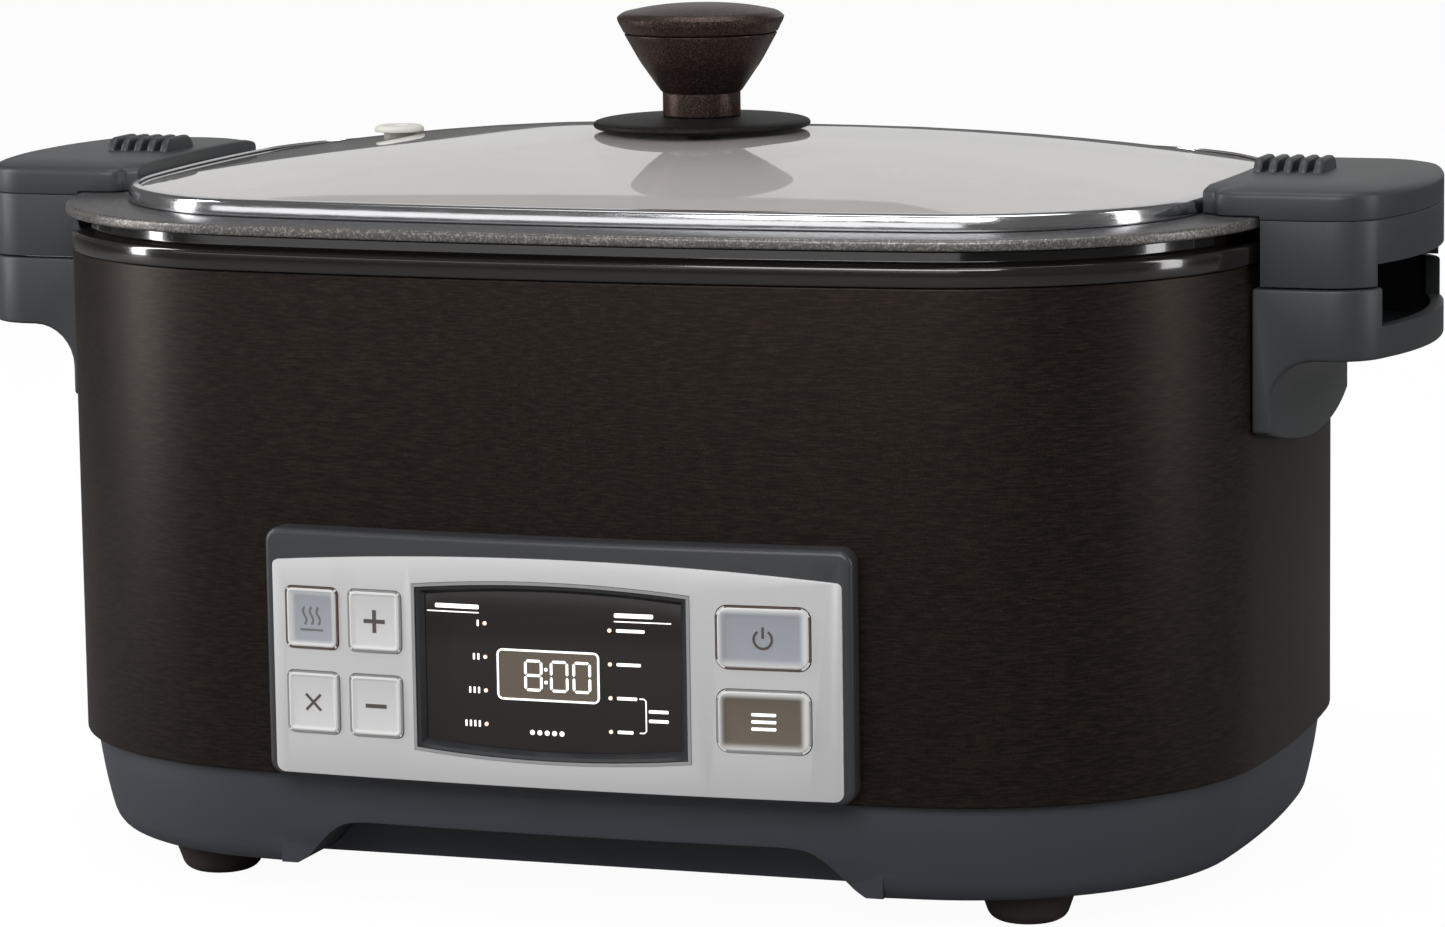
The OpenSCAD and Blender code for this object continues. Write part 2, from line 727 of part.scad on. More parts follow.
module cooking_pot() {
    outside = [[42, pot_floor], [35, pot_floor + 0.8], [31.5, pot_floor + 4], [30.5, pot_floor + 10],
        [27.5, flange_bottom - 3], [26, flange_bottom - 0.6], [24, flange_bottom]];
    flange = [[-flange_proud + 0.6, flange_bottom], [-flange_proud, flange_bottom + 0.6],
        [-flange_proud, flange_top - 0.8], [-flange_proud + 0.8, flange_top], [28, flange_top]];
    inside = [[29.6, flange_top - 0.8], [30.5, flange_top - 4], [33.5, pot_floor + 12],
        [35.5, pot_floor + 6], [42, pot_floor + pot_wall]];
    color([0.17, 0.17, 0.18]) skin([for (s = concat(outside, flange, inside)) at_height(plan(s[0]), s[1])]);
}

// ---- lid ----
rim_bottom = flange_top + 0.1;
rim_top = 209.6;
glass_t = 3.3;
glass_edge = 208.9;
glass_apex = glass_edge + glass_rise;
vent_at = [-114, 30];

function dome(scale_by, z_edge) = [for (p = plan(lid_inset + 0.95))
    [p[0] * scale_by, p[1] * scale_by, z_edge + glass_rise * (1 - scale_by ^ 2)]];

module lid_glass() {
    steps = [0.04, 0.2, 0.35, 0.5, 0.65, 0.78, 0.9, 1];
    color([0.80, 0.80, 0.78, 0.5]) difference() {
        skin(concat([for (s = steps) dome(s, glass_edge - glass_t)],
            [for (s = backwards(steps)) dome(s, glass_edge)]));
        translate([0, 0, 200]) cylinder(h = 40, r = 5);
        translate([vent_at[0], vent_at[1], 200]) cylinder(h = 40, r = 5.2);
    }
}

module lid_rim() {
    lip = lid_inset + 3.2;
    color(steel) loop([[lid_inset, rim_bottom], [lid_inset, rim_top - 0.3], [lid_inset + 0.4, rim_top],
        [lip, rim_top + 0.7], [lip, rim_top], [lid_inset + 0.85, rim_top - 0.55],
        [lid_inset + 0.85, rim_bottom + 0.5], [lip, rim_bottom + 0.5], [lip, rim_bottom]]);
}

module steam_vent() {
    low = 210.8;
    color(steel) translate([vent_at[0], vent_at[1], low]) rotate_extrude()
        polygon([[2, 0], [7, 0], [7, 1.4], [5, 1.4], [5, 7.2], [8, 7.2], [8, 8.2], [7, 9.2], [2, 9.2]]);
}

skirt_top = 227.4;
flare_top = 253.4;

module knob_skirt() {
    low = glass_apex + 0.1;
    color([0.14, 0.12, 0.11]) rotate_extrude()
        polygon([[3.2, low], [12, low], [12, low + 0.7], [skirt_r - 0.8, low + 0.5], [skirt_r, low + 1.1],
            [skirt_r, low + 2.3], [skirt_r - 0.8, low + 2.8], [13, skirt_top], [3.2, skirt_top]]);
}

module knob_body() {
    low = skirt_top + 0.1;
    neck_r = 12.1;
    bore_r = 2.65;
    color([0.22, 0.17, 0.15]) rotate_extrude()
        polygon([[bore_r, low], [neck_r, low], [neck_r, 235.2], [15.6, 239.6], [19.2, 244.8],
            [21.7, 249.4], [knob_r - 2.2, 252.8], [knob_r - 3, flare_top],
            [0, flare_top], [0, 245], [bore_r, 245]]);
}

module knob_cap() {
    low = flare_top + 0.1;
    color([0.22, 0.17, 0.15]) rotate_extrude()
        polygon([[0, low], [knob_r - 3, low], [knob_r - 2.1, low + 0.3], [knob_r - 1, low + 2.2],
            [knob_r - 0.1, low + 3.8], [knob_r, low + 4.8], [knob_r - 1.6, low + 6.3],
            [14, low + 8.4], [0, low + 8.9]]);
}

washer_top = glass_apex - glass_t - 0.25;

module knob_screw() {
    head = washer_top - 3.4;
    color(steel) union() {
        translate([0, 0, head]) cylinder(h = 2.6, r = 5);
        translate([0, 0, head + 1]) cylinder(h = 243 - head, r = 2.5);
    }
}

module knob_washer() color([0.80, 0.80, 0.78]) tube(washer_top - 0.8, washer_top, 9, 2.7);

outer_shell();
top_collar();
heating_well();
well_insulation();
heating_plate();
heating_element();
sensor_guide();
sensor_spring();
sensor_plunger();
heat_shield();
well_posts();
thermal_fuse();
base_tray();
foot_front_left();
foot_front_right();
foot_rear_left();
foot_rear_right();
base_screws();
power_board();
power_components();
wiring_harness();
mains_inlet();
inlet_pins();
panel_frame();
panel_fascia();
display_bezel();
display_window();
display_module();
led_indicators();
control_board();
button_switches();
panel_screws();
button_keep_warm();
button_plus();
button_cancel();
button_minus();
button_power();
button_menu();
housing_handle_left();
housing_handle_right();
housing_handle_screws();
cooking_pot();
pot_handle_body_left();
pot_handle_body_right();
pot_handle_cover_left();
pot_handle_cover_right();
pot_handle_brackets();
pot_handle_screws();
lid_glass();
lid_rim();
steam_vent();
knob_skirt();
knob_body();
knob_cap();
knob_screw();
knob_washer();
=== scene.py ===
import math
from types import SimpleNamespace

import bmesh
import bpy
from bpy.props import FloatProperty, FloatVectorProperty, PointerProperty
from mathutils import Matrix, Vector


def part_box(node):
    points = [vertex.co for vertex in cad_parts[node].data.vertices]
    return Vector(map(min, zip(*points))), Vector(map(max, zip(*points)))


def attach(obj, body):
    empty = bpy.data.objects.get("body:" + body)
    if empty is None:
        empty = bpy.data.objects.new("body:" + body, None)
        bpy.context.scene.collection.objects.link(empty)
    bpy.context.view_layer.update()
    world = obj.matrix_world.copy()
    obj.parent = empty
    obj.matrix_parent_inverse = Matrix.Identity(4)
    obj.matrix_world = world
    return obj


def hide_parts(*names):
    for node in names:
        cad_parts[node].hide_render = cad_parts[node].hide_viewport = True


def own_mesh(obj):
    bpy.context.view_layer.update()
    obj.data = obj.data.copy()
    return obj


bl_info = {
    "name": "Slow cooker",
    "version": (1, 0, 0),
    "blender": (4, 5, 0),
    "location": "View3D > Sidebar > Slow cooker",
    "description": "Builds the visible pieces of a slow cooker around its CAD model",
    "category": "Add Mesh",
}

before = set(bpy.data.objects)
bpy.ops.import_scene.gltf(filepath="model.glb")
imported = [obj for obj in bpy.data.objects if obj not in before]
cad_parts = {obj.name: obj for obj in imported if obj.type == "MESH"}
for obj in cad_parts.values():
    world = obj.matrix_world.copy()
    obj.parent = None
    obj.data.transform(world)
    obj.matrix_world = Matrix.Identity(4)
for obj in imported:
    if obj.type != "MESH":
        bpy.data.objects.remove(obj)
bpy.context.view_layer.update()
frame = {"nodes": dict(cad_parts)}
MM = 0.001
TOUCHING = 0.004  # mm within which two vertices are one


# ---- sizes and colours ----
def rgb(red, green, blue):
    """A colour on a 0 to 255 screen scale, as linear light."""
    shares = (channel / 255 for channel in (red, green, blue))
    return tuple(v / 12.92 if v <= 0.04045 else ((v + 0.055) / 1.055) ** 2.4 for v in shares)


def length(name, description, default):
    return FloatProperty(name=name, description=description, default=default, unit="LENGTH", precision=4)


def colour(name, description, *screen):
    return FloatVectorProperty(
        name=name, description=description, subtype="COLOR", size=3, min=0, max=1, default=rgb(*screen)
    )


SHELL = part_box("outer_shell")
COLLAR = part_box("top_collar")
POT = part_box("cooking_pot")
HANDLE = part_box("housing_handle_right")
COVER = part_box("pot_handle_cover_right")
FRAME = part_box("panel_frame")
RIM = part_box("lid_rim")
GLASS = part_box("lid_glass")
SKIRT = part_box("knob_skirt")
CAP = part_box("knob_cap")
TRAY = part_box("base_tray")
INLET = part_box("mains_inlet")


class CookerSizes(bpy.types.PropertyGroup):
    half_width: length("Half width", "Half the width of the outer shell", SHELL[1].x)
    half_depth: length("Half depth", "Half the depth of the outer shell", SHELL[1].y)
    corner_radius: length("Corner radius", "Corner radius of the shell, from above", 0.090)
    long_bow: length("Long bow", "How far the front and back bow outwards", 0.0044)
    end_bow: length("End bow", "How far the ends bow outwards", 0.00165)
    shell_bottom: length("Shell bottom", "Height of the shell's lower edge", SHELL[0].z)
    shell_top: length("Shell top", "Height of the shell's upper edge", SHELL[1].z)
    base_bottom: length("Base bottom", "Height of the base's underside", TRAY[0].z)
    handle_reach: length("Handle reach", "How far the handles reach from the middle", HANDLE[1].x)
    handle_half: length("Handle half length", "Half the length of a handle along the end", HANDLE[1].y)
    panel_half: length("Panel half width", "Half the width of the panel frame", FRAME[1].x)
    panel_bottom: length("Panel bottom", "Lower edge of the panel frame", FRAME[0].z)
    panel_top: length("Panel top", "Upper edge of the panel frame", FRAME[1].z)
    panel_depth: length("Panel depth", "How far the panel frame stands out", 0.008)
    flange_top: length("Flange top", "Top of the pot's flange", POT[1].z)
    rim_bottom: length("Rim bottom", "Lower edge of the lid's rim", RIM[0].z)
    glass_apex: length("Glass apex", "Height of the glass under the knob", GLASS[1].z)
    knob_radius: length("Knob radius", "Largest radius of the knob", CAP[1].x)
    knob_top: length("Knob top", "Top of the knob", CAP[1].z)
    skirt_radius: length("Skirt radius", "Radius of the disc under the knob", SKIRT[1].x)


class CookerColours(bpy.types.PropertyGroup):
    shell_dark: colour("Shell dark", "Dark grain of the shell paint", 11, 9, 8)
    shell_light: colour("Shell light", "Light grain of the shell paint", 38, 31, 26)
    collar: colour("Collar", "Glossy collar above the shell", 30, 27, 25)
    base: colour("Base", "Plastic of the base", 57, 59, 66)
    handle: colour("Handles", "Plastic of the handles", 50, 52, 54)
    foot: colour("Feet", "Rubber of the feet", 44, 35, 32)
    frame: colour("Panel frame", "Plastic of the panel frame", 52, 53, 56)
    fascia: colour("Fascia", "Silver sheet of the panel", 204, 204, 204)
    lip: colour("Display lip", "Lip around the display", 150, 150, 151)
    display: colour("Display", "Dark face of the display", 42, 37, 37)
    screen: colour("Screen", "Background of the time display", 104, 95, 83)
    button: colour("Buttons", "Light buttons", 206, 206, 206)
    button_blue: colour("Blue-grey buttons", "Middle of the blue-grey buttons", 156, 159, 166)
    button_taupe: colour("Taupe button", "Middle of the taupe button", 104, 95, 84)
    button_edge: colour("Button border", "Light border of the buttons", 214, 214, 213)
    pot: colour("Pot", "Coating of the pot", 52, 52, 54)
    # The glass colour is painted reflection: its light grey stands in for the bright surroundings that the
    # clear glass reflects.
    glass: colour("Glass", "Tint of the lid's glass", 208, 204, 201)
    knob: colour("Knob", "Metallic paint of the knob", 108, 88, 80)
    skirt: colour("Knob disc", "Light grain of the disc under the knob", 38, 35, 32)


def in_mm(group):
    """The sizes in the sidebar, in millimetres."""
    return SimpleNamespace(**{key: getattr(group, key) / MM for key in group.__annotations__})


def sizes():
    return in_mm(bpy.context.scene.cooker_sizes)


def colours():
    return bpy.context.scene.cooker_colours


# ---- the plan outline that the shell, base, pot and lid share ----
class Plan:
    """Four shallow bows joined by round corners. Every curve has its own centre, so an inset is exact."""

    def __init__(self, s):
        self.end_x = s.half_width
        self.radius = s.corner_radius
        flat_x, flat_y = s.half_width - self.radius, s.half_depth - self.radius
        self.long_r = (flat_x**2 + s.long_bow**2) / (2 * s.long_bow)
        self.end_r = (flat_y**2 + s.end_bow**2) / (2 * s.end_bow)
        self.long_centre = Vector((0, s.half_depth - self.long_r))
        self.end_centre = Vector((s.half_width - self.end_r, 0))
        between = self.end_centre - self.long_centre
        gap = between.length
        near, far = self.long_r - self.radius, self.end_r - self.radius
        along = (near**2 - far**2 + gap**2) / (2 * gap)
        aside = math.sqrt(near**2 - along**2)
        self.corner = self.long_centre + (along * between + aside * Vector((between.y, -between.x))) / gap
        self.corner_from = self.angle(self.corner - self.end_centre)
        self.corner_to = self.angle(self.corner - self.long_centre)

    @staticmethod
    def angle(direction):
        return math.degrees(math.atan2(direction.y, direction.x))

    def turns(self):
        """Centre, degrees and steps of the three arcs from the end's middle to the back's middle."""
        return (
            (self.end_centre, self.corner_from, 4),
            (self.corner, self.corner_to - self.corner_from, 20),
            (self.long_centre, 90 - self.corner_to, 8),
        )

    def end_at(self, y, inset=0.0):
        """X of the right-hand end at y."""
        return self.end_centre.x + math.sqrt((self.end_r - inset) ** 2 - y**2)


# ---- modelling, on top of Blender's own operators ----
class Arc:
    """A part of a line that turns about a centre, anticlockwise from above for positive degrees."""

    def __init__(self, centre, degrees, steps):
        self.centre, self.degrees, self.steps = Vector((*centre[:2], 0)), degrees, steps


def deselect():
    if bpy.context.object and bpy.context.object.mode == "EDIT":
        bpy.ops.object.mode_set(mode="OBJECT")
    bpy.ops.object.select_all(action="DESELECT")


def activate(piece, mode="OBJECT"):
    deselect()
    piece.select_set(True)
    bpy.context.view_layer.objects.active = piece
    if mode == "EDIT":
        bpy.ops.object.mode_set(mode="EDIT")


def pick(piece, test, kind="faces"):
    """In edit mode, selects the faces, edges or verts that pass a test, and nothing else."""
    bpy.ops.mesh.select_mode(type={"faces": "FACE", "edges": "EDGE", "verts": "VERT"}[kind])
    bpy.ops.mesh.select_all(action="DESELECT")
    mesh = bmesh.from_edit_mesh(piece.data)
    mesh.normal_update()
    chosen = [part for part in getattr(mesh, kind) if test(part)]
    if not chosen:
        raise RuntimeError(f"nothing on {piece.name} passes the test")
    for part in chosen:
        part.select_set(True)
    mesh.select_flush_mode()
    bmesh.update_edit_mesh(piece.data)
    return len(chosen)


def facing(axis, at, towards=1):
    """A test for faces that look along an axis and lie at a height along it, in mm."""
    return lambda face: (
        face.normal[axis] * towards > 0.99 and abs(face.calc_center_median()[axis] / MM - at) < 0.02
    )


def tidy(normals=True):
    """In edit mode, merges doubles and points every face outwards."""
    bpy.ops.mesh.select_mode(type="VERT")
    bpy.ops.mesh.select_all(action="SELECT")
    bpy.ops.mesh.remove_doubles(threshold=TOUCHING * MM)
    if normals:
        bpy.ops.mesh.normals_make_consistent(inside=False)


def spin(centre, degrees, steps):
    """The operator turns clockwise for a positive angle, so the sign is changed."""
    bpy.ops.mesh.spin(
        steps=steps, angle=-math.radians(degrees), center=(centre[0] * MM, centre[1] * MM, 0), axis=(0, 0, 1)
    )


def draw(name, line, place, closed=True, segments=4):
    """Draws a line of (a, b), (a, b, rounding) and Arc items in edit mode; place turns a, b to a position."""
    deselect()
    bpy.ops.mesh.primitive_plane_add(size=MM)
    piece = bpy.context.object
    piece.name = piece.data.name = name
    bpy.ops.object.mode_set(mode="EDIT")
    bpy.ops.mesh.select_mode(type="VERT")
    bpy.ops.mesh.select_all(action="SELECT")
    bpy.ops.mesh.merge(type="CENTER")
    first = at = Vector(place(*line[0][:2]))
    bpy.ops.transform.translate(value=at * MM)
    rounded = {}
    for item in line[1:]:
        if isinstance(item, Arc):
            spin(item.centre, item.degrees, item.steps)
            at = item.centre + Matrix.Rotation(math.radians(item.degrees), 3, "Z") @ (at - item.centre)
            continue
        to = Vector(place(*item[:2]))
        bpy.ops.mesh.extrude_region_move(TRANSFORM_OT_translate={"value": (to - at) * MM})
        at = to
    for item in line:
        if not isinstance(item, Arc) and len(item) > 2 and item[2]:
            rounded.setdefault(item[2], []).append(Vector(place(*item[:2])) * MM)
    if closed:
        bpy.ops.mesh.extrude_region_move(TRANSFORM_OT_translate={"value": (first - at) * MM})
        tidy(normals=False)
    for size, spots in rounded.items():
        pick(piece, lambda v: any((v.co - spot).length < 0.01 * MM for spot in spots), "verts")
        bpy.ops.mesh.bevel(affect="VERTICES", offset=size * MM, segments=segments)
    return piece


def fill():
    bpy.ops.mesh.select_mode(type="VERT")
    bpy.ops.mesh.select_all(action="SELECT")
    bpy.ops.mesh.edge_face_add()


def extrude(x, y, z):
    bpy.ops.mesh.extrude_region_move(TRANSFORM_OT_translate={"value": Vector((x, y, z)) * MM})


def inset(thickness, depth=0.0):
    bpy.ops.mesh.inset(thickness=thickness * MM, depth=depth * MM, use_even_offset=True)


def crown(piece, across, up):
    """Raises the picked top by up and shrinks it about its middle, by across at its widest."""
    spots = [v.co for v in bmesh.from_edit_mesh(piece.data).verts if v.select]
    low, high = (Vector([side(c[k] for c in spots) for k in range(3)]) for side in (min, max))
    shares = [1 - 2 * across * MM / (high[k] - low[k]) for k in range(2)]
    extrude(0, 0, up)
    bpy.ops.transform.resize(value=(*shares, 1), center_override=(low + high) / 2)


def swept(name, section, plan, closed=True, segments=4):
    """Turns a section of (inset, height) points round a quarter of the plan outline, and mirrors it twice."""
    piece = draw(name, section, lambda d, z: (plan.end_x - d, 0, z), closed, segments)
    bpy.ops.mesh.select_all(action="SELECT")
    for turn in plan.turns():
        spin(*turn)
    bpy.ops.object.mode_set(mode="OBJECT")
    mirror = piece.modifiers.new("Mirror", "MIRROR")
    mirror.use_axis = (True, True, False)
    mirror.merge_threshold = TOUCHING * MM
    bpy.ops.object.modifier_apply(modifier=mirror.name)
    activate(piece, "EDIT")
    tidy(normals=False)
    if not closed:
        bpy.ops.mesh.fill_holes(sides=0)
    bpy.ops.mesh.select_all(action="SELECT")
    bpy.ops.mesh.normals_make_consistent(inside=False)
    return piece


def lathed(name, section, at=(0, 0), steps=64, closed=True, segments=4):
    """Turns a section of (radius, height) points once round an upright axis."""
    piece = draw(name, section, lambda r, z: (at[0] + r, at[1], z), closed, segments)
    bpy.ops.mesh.select_all(action="SELECT")
    spin(at, 360, steps)
    tidy()
    return piece


def prism(name, line, place, along, segments=4):
    """A closed outline, filled and extruded."""
    piece = draw(name, line, place, True, segments)
    fill()
    extrude(*along)
    tidy()
    return piece


def upright(name, line, z0, z1, segments=4):
    """A prism from an outline seen from above."""
    return prism(name, line, lambda x, y: (x, y, z0), (0, 0, z1 - z0), segments)


def end_view(name, line, x0, x1, segments=4):
    """A prism from an outline of (y, z) points."""
    return prism(name, line, lambda y, z: (x0, y, z), (x1 - x0, 0, 0), segments)


def plate(name, line, near, far, segments=4):
    """A flat panel piece from (x, z) points, before it is bent. Near and far are measured from the shell."""
    return prism(name, line, lambda x, z: (x, -near, z), (0, near - far, 0), segments)


def block(low, high):
    """A box, for cutting only."""
    deselect()
    low, high = Vector(low), Vector(high)
    bpy.ops.mesh.primitive_cube_add(size=1, location=(low + high) / 2 * MM, scale=(high - low) * MM)
    return bpy.context.object


def combine(piece, other, operation="DIFFERENCE"):
    """Cuts or joins with another mesh, which is used up."""
    activate(piece)
    change = piece.modifiers.new("Boolean", "BOOLEAN")
    change.object, change.operation, change.solver = other, operation, "EXACT"
    bpy.ops.object.modifier_apply(modifier=change.name)
    bpy.data.objects.remove(other, do_unlink=True)
    return piece


def soften(piece, width, segments=3, degrees=40):
    """Rounds every edge sharper than an angle."""
    activate(piece, "EDIT")
    bpy.ops.mesh.select_all(action="SELECT")
    bpy.ops.mesh.remove_doubles(threshold=TOUCHING * MM)
    bpy.ops.mesh.dissolve_limited(angle_limit=math.radians(0.4))
    bpy.ops.object.mode_set(mode="OBJECT")
    bevel = piece.modifiers.new("Bevel", "BEVEL")
    bevel.width, bevel.segments = width * MM, segments
    bevel.limit_method, bevel.angle_limit = "ANGLE", math.radians(degrees)
    bevel.use_clamp_overlap = True
    bpy.ops.object.modifier_apply(modifier=bevel.name)
    return piece


def copy_of(piece, name, shift=(0, 0, 0), mirrored=False):
    """A copy with its own mesh, moved or mirrored across the middle in edit mode."""
    activate(piece)
    bpy.ops.object.duplicate()
    twin = bpy.context.object
    twin.name = twin.data.name = name
    bpy.ops.object.mode_set(mode="EDIT")
    bpy.ops.mesh.select_all(action="SELECT")
    bpy.ops.transform.translate(value=Vector(shift) * MM)
    if mirrored:
        bpy.ops.transform.resize(value=(-1, 1, 1), center_override=(0, 0, 0))
        bpy.ops.mesh.normals_make_consistent(inside=False)
    return twin


def joined(pieces, name):
    """Several meshes as one piece."""
    deselect()
    for piece in pieces:
        piece.select_set(True)
    bpy.context.view_layer.objects.active = pieces[0]
    if len(pieces) > 1:
        bpy.ops.object.join()
    pieces[0].name = pieces[0].data.name = name
    return pieces[0]


BEND_STEP = 6  # mm between the cuts that let a panel piece bend


def bent(piece, plan, s):
    """Cuts a flat panel piece into upright strips and bends it to the shell's front."""
    activate(piece, "EDIT")
    across = [v.co.x / MM for v in bmesh.from_edit_mesh(piece.data).verts]
    low, high = min(across), max(across)
    x = math.ceil((low + 0.5) / BEND_STEP) * BEND_STEP
    while x < high - 0.5:
        bpy.ops.mesh.select_all(action="SELECT")
        bpy.ops.mesh.bisect(plane_co=(x * MM, 0, 0), plane_no=(1, 0, 0))
        x += BEND_STEP
    bpy.ops.object.mode_set(mode="OBJECT")
    bend = piece.modifiers.new("Bend", "SIMPLE_DEFORM")
    bend.deform_method, bend.deform_axis = "BEND", "Z"
    bend.angle = (high - low) / plan.long_r
    bpy.ops.object.modifier_apply(modifier=bend.name)
    activate(piece, "EDIT")
    bpy.ops.mesh.select_all(action="SELECT")
    bpy.ops.transform.translate(value=(0, -s.half_depth * MM, 0))
    bpy.ops.object.mode_set(mode="OBJECT")
    return piece


def paint(piece, test, slot):
    """Gives the faces that pass a test a material slot of their own."""
    activate(piece, "EDIT")
    pick(piece, test)
    piece.active_material_index = slot
    bpy.ops.object.material_slot_assign()
    bpy.ops.object.mode_set(mode="OBJECT")


def done(piece, body, nodes, slot, *names, degrees=30):
    """Shades a finished piece, gives it its finishes and its place in the frame."""
    activate(piece)
    bpy.ops.object.transform_apply(location=True, rotation=True, scale=True)
    bpy.ops.object.shade_smooth_by_angle(angle=math.radians(degrees))
    for at, name in enumerate(names):
        if at < len(piece.material_slots):
            piece.material_slots[at].material = finish(name)
        else:
            piece.data.materials.append(finish(name))
    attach(piece, body)
    if nodes:
        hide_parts(*nodes)


# ---- finishes ----
class Wire:
    """A shader socket that arithmetic can be written with."""

    def __init__(self, maker, socket):
        self.maker, self.socket = maker, socket

    def __add__(self, other):
        return self.maker.maths("ADD", self, other)

    def __sub__(self, other):
        return self.maker.maths("SUBTRACT", self, other)

    def __rsub__(self, other):
        return self.maker.maths("SUBTRACT", other, self)

    def __mul__(self, other):
        return self.maker.maths("MULTIPLY", self, other)

    __radd__, __rmul__ = __add__, __mul__


class Finish:
    """A material and its nodes, around the Principled shader that it starts with."""

    def __init__(self, name):
        self.material = bpy.data.materials.new(name)
        self.material.use_nodes = True
        self.tree = self.material.node_tree
        self.shader = self.tree.nodes["Principled BSDF"]
        self.coords = None

    def node(self, kind, settings=None, inputs=None, output=0):
        """Adds a node: its settings first, then the values or links of its sockets."""
        made = self.tree.nodes.new("ShaderNode" + kind)
        for key, value in (settings or {}).items():
            if key == "stops":
                for stop, (position, shade) in zip(made.color_ramp.elements, value):
                    stop.position, stop.color = position, (*shade, 1)
            else:
                setattr(made, key, value)
        for key, value in (inputs or {}).items():
            self.put(self.socket(made.inputs, key), value)
        return Wire(self, self.socket(made.outputs, output))

    @staticmethod
    def socket(sockets, key):
        if isinstance(key, int):
            return sockets[key]
        return next(s for s in sockets if key in (s.identifier, s.name))

    def put(self, socket, value):
        if isinstance(value, Wire):
            self.tree.links.new(value.socket, socket)
        elif socket.type == "RGBA":
            socket.default_value = (*value[:3], 1)
        else:
            socket.default_value = value

    def maths(self, operation, *values):
        return self.node("Math", {"operation": operation}, dict(enumerate(values)))

    def place(self):
        if not self.coords:
            self.coords = self.node("TexCoord", output="Object")
        return self.coords

    def stretched(self, stretch):
        return self.node("Mapping", inputs={"Vector": self.place(), "Scale": stretch})

    def noise(self, size, stretch=(1, 1, 1), detail=2.0):
        """Soft noise whose blotches are about one size across, in mm, stretched along the axes."""
        reach = tuple(1 / s for s in stretch)
        return self.node(
            "TexNoise", inputs={"Vector": self.stretched(reach), "Scale": 1 / (size * MM), "Detail": detail}
        )

    def cells(self, size, stretch=(1, 1, 1)):
        """Random grains of one size: a colour to each."""
        reach = tuple(1 / s for s in stretch)
        return self.node(
            "TexVoronoi", inputs={"Vector": self.stretched(reach), "Scale": 1 / (size * MM)}, output="Color"
        )

    def ramp(self, value, low, high, smooth=True):
        """0 below low, 1 above high."""
        kind = {"interpolation_type": "SMOOTHSTEP"} if smooth else {}
        return self.node("MapRange", kind, {"Value": value, "From Min": low, "From Max": high})

    def blend(self, factor, a, b):
        return self.node(
            "Mix", {"data_type": "RGBA"}, {"Factor_Float": factor, "A_Color": a, "B_Color": b}, "Result_Color"
        )

    def bump(self, height, depth, strength=1.0):
        """Depth in mm."""
        relief = {"Height": height, "Distance": depth * MM, "Strength": strength}
        self.set(Normal=self.node("Bump", inputs=relief))

    def set(self, **values):
        """Sets the shader's sockets, named with _ for a space."""
        for key, value in values.items():
            self.put(self.shader.inputs[key.replace("_", " ")], value)
        return self


def moulded(name, base, rough=0.45, grain=0.5, depth=0.02, spread=0.18, **more):
    """Moulded plastic or rubber: a fine grain and slow changes of shade."""
    f = Finish(name)
    fine, slow = f.noise(grain), f.noise(24)
    dark, light = (tuple(c * k for c in base) for k in (1 - spread, 1 + spread))
    f.set(Base_Color=f.blend(fine * 0.5 + slow * 0.5, dark, light), **more)
    f.set(Roughness=fine * 0.12 + (rough - 0.06))
    f.bump(fine, depth)
    return f.material


def metal(name, base, rough=0.3, grain=0.6, stretch=(1, 1, 1), spread=0.15, **more):
    """Bare metal, with grain along the axis that is stretched."""
    f = Finish(name)
    fine, slow = f.noise(grain, stretch), f.noise(30)
    dark, light = (tuple(min(1, c * k) for c in base) for k in (1 - spread, 1 + spread))
    f.set(Base_Color=f.blend(fine * 0.6 + slow * 0.4, dark, light), Roughness=fine * 0.15 + (rough - 0.07))
    f.set(Metallic=1.0, **more)
    f.bump(fine, 0.01)
    return f.material


def shell_paint(name):
    c = colours()
    f = Finish(name)
    streak = f.noise(0.55, (9, 9, 1), 3.0)
    fleck = f.noise(0.45)
    warm = f.ramp(streak * 0.65 + fleck * 0.35, 0.36, 0.72)
    f.set(Base_Color=f.blend(warm, c.shell_dark, c.shell_light), Roughness=fleck * 0.16 + 0.34)
    f.set(Specular_IOR_Level=0.22, Specular_Tint=(1.0, 0.78, 0.68))
    f.bump(streak, 0.015, 0.6)
    return f.material


def speckled(name, dark, light, share, size, rough, metallic=0.5, depth=0.03, **more):
    """Paint with a share of small bright grains in it."""
    f = Finish(name)
    grains = f.cells(size)
    level = f.node("SeparateColor", inputs={"Color": grains}, output=0)
    bright = f.ramp(level, 1 - share, 1.0, False)
    soft = f.noise(size * 1.6)
    f.set(Base_Color=f.blend(bright * 0.75 + soft * 0.25, dark, light), Roughness=soft * 0.2 + (rough - 0.1))
    f.set(Metallic=metallic, **more)
    f.bump(soft, depth, 0.7)
    return f.material


def clear_glass(name):
    f = Finish(name)
    # Painted reflection: the light grey base colour grows more opaque towards grazing angles and stands in
    # for what the glass reflects. Random patches vary its tone and the roughness.
    facing_away = f.node("LayerWeight", inputs={"Blend": 0.35}, output="Facing")
    patches = f.noise(35)
    f.set(Base_Color=f.blend(patches, rgb(192, 188, 185), colours().glass), Roughness=patches * 0.04 + 0.02)
    f.set(Alpha=f.ramp(facing_away, 0.15, 0.85) * 0.72 + 0.22, Coat_Weight=1.0, Coat_Roughness=0.02)
    return f.material


def glowing(name, shade, strength):
    f = Finish(name)
    even = f.noise(1.5)
    dim = tuple(k * 0.85 for k in shade)
    f.set(Base_Color=f.blend(even, dim, shade), Emission_Color=f.blend(even, dim, shade))
    f.set(Emission_Strength=strength, Roughness=0.5)
    return f.material


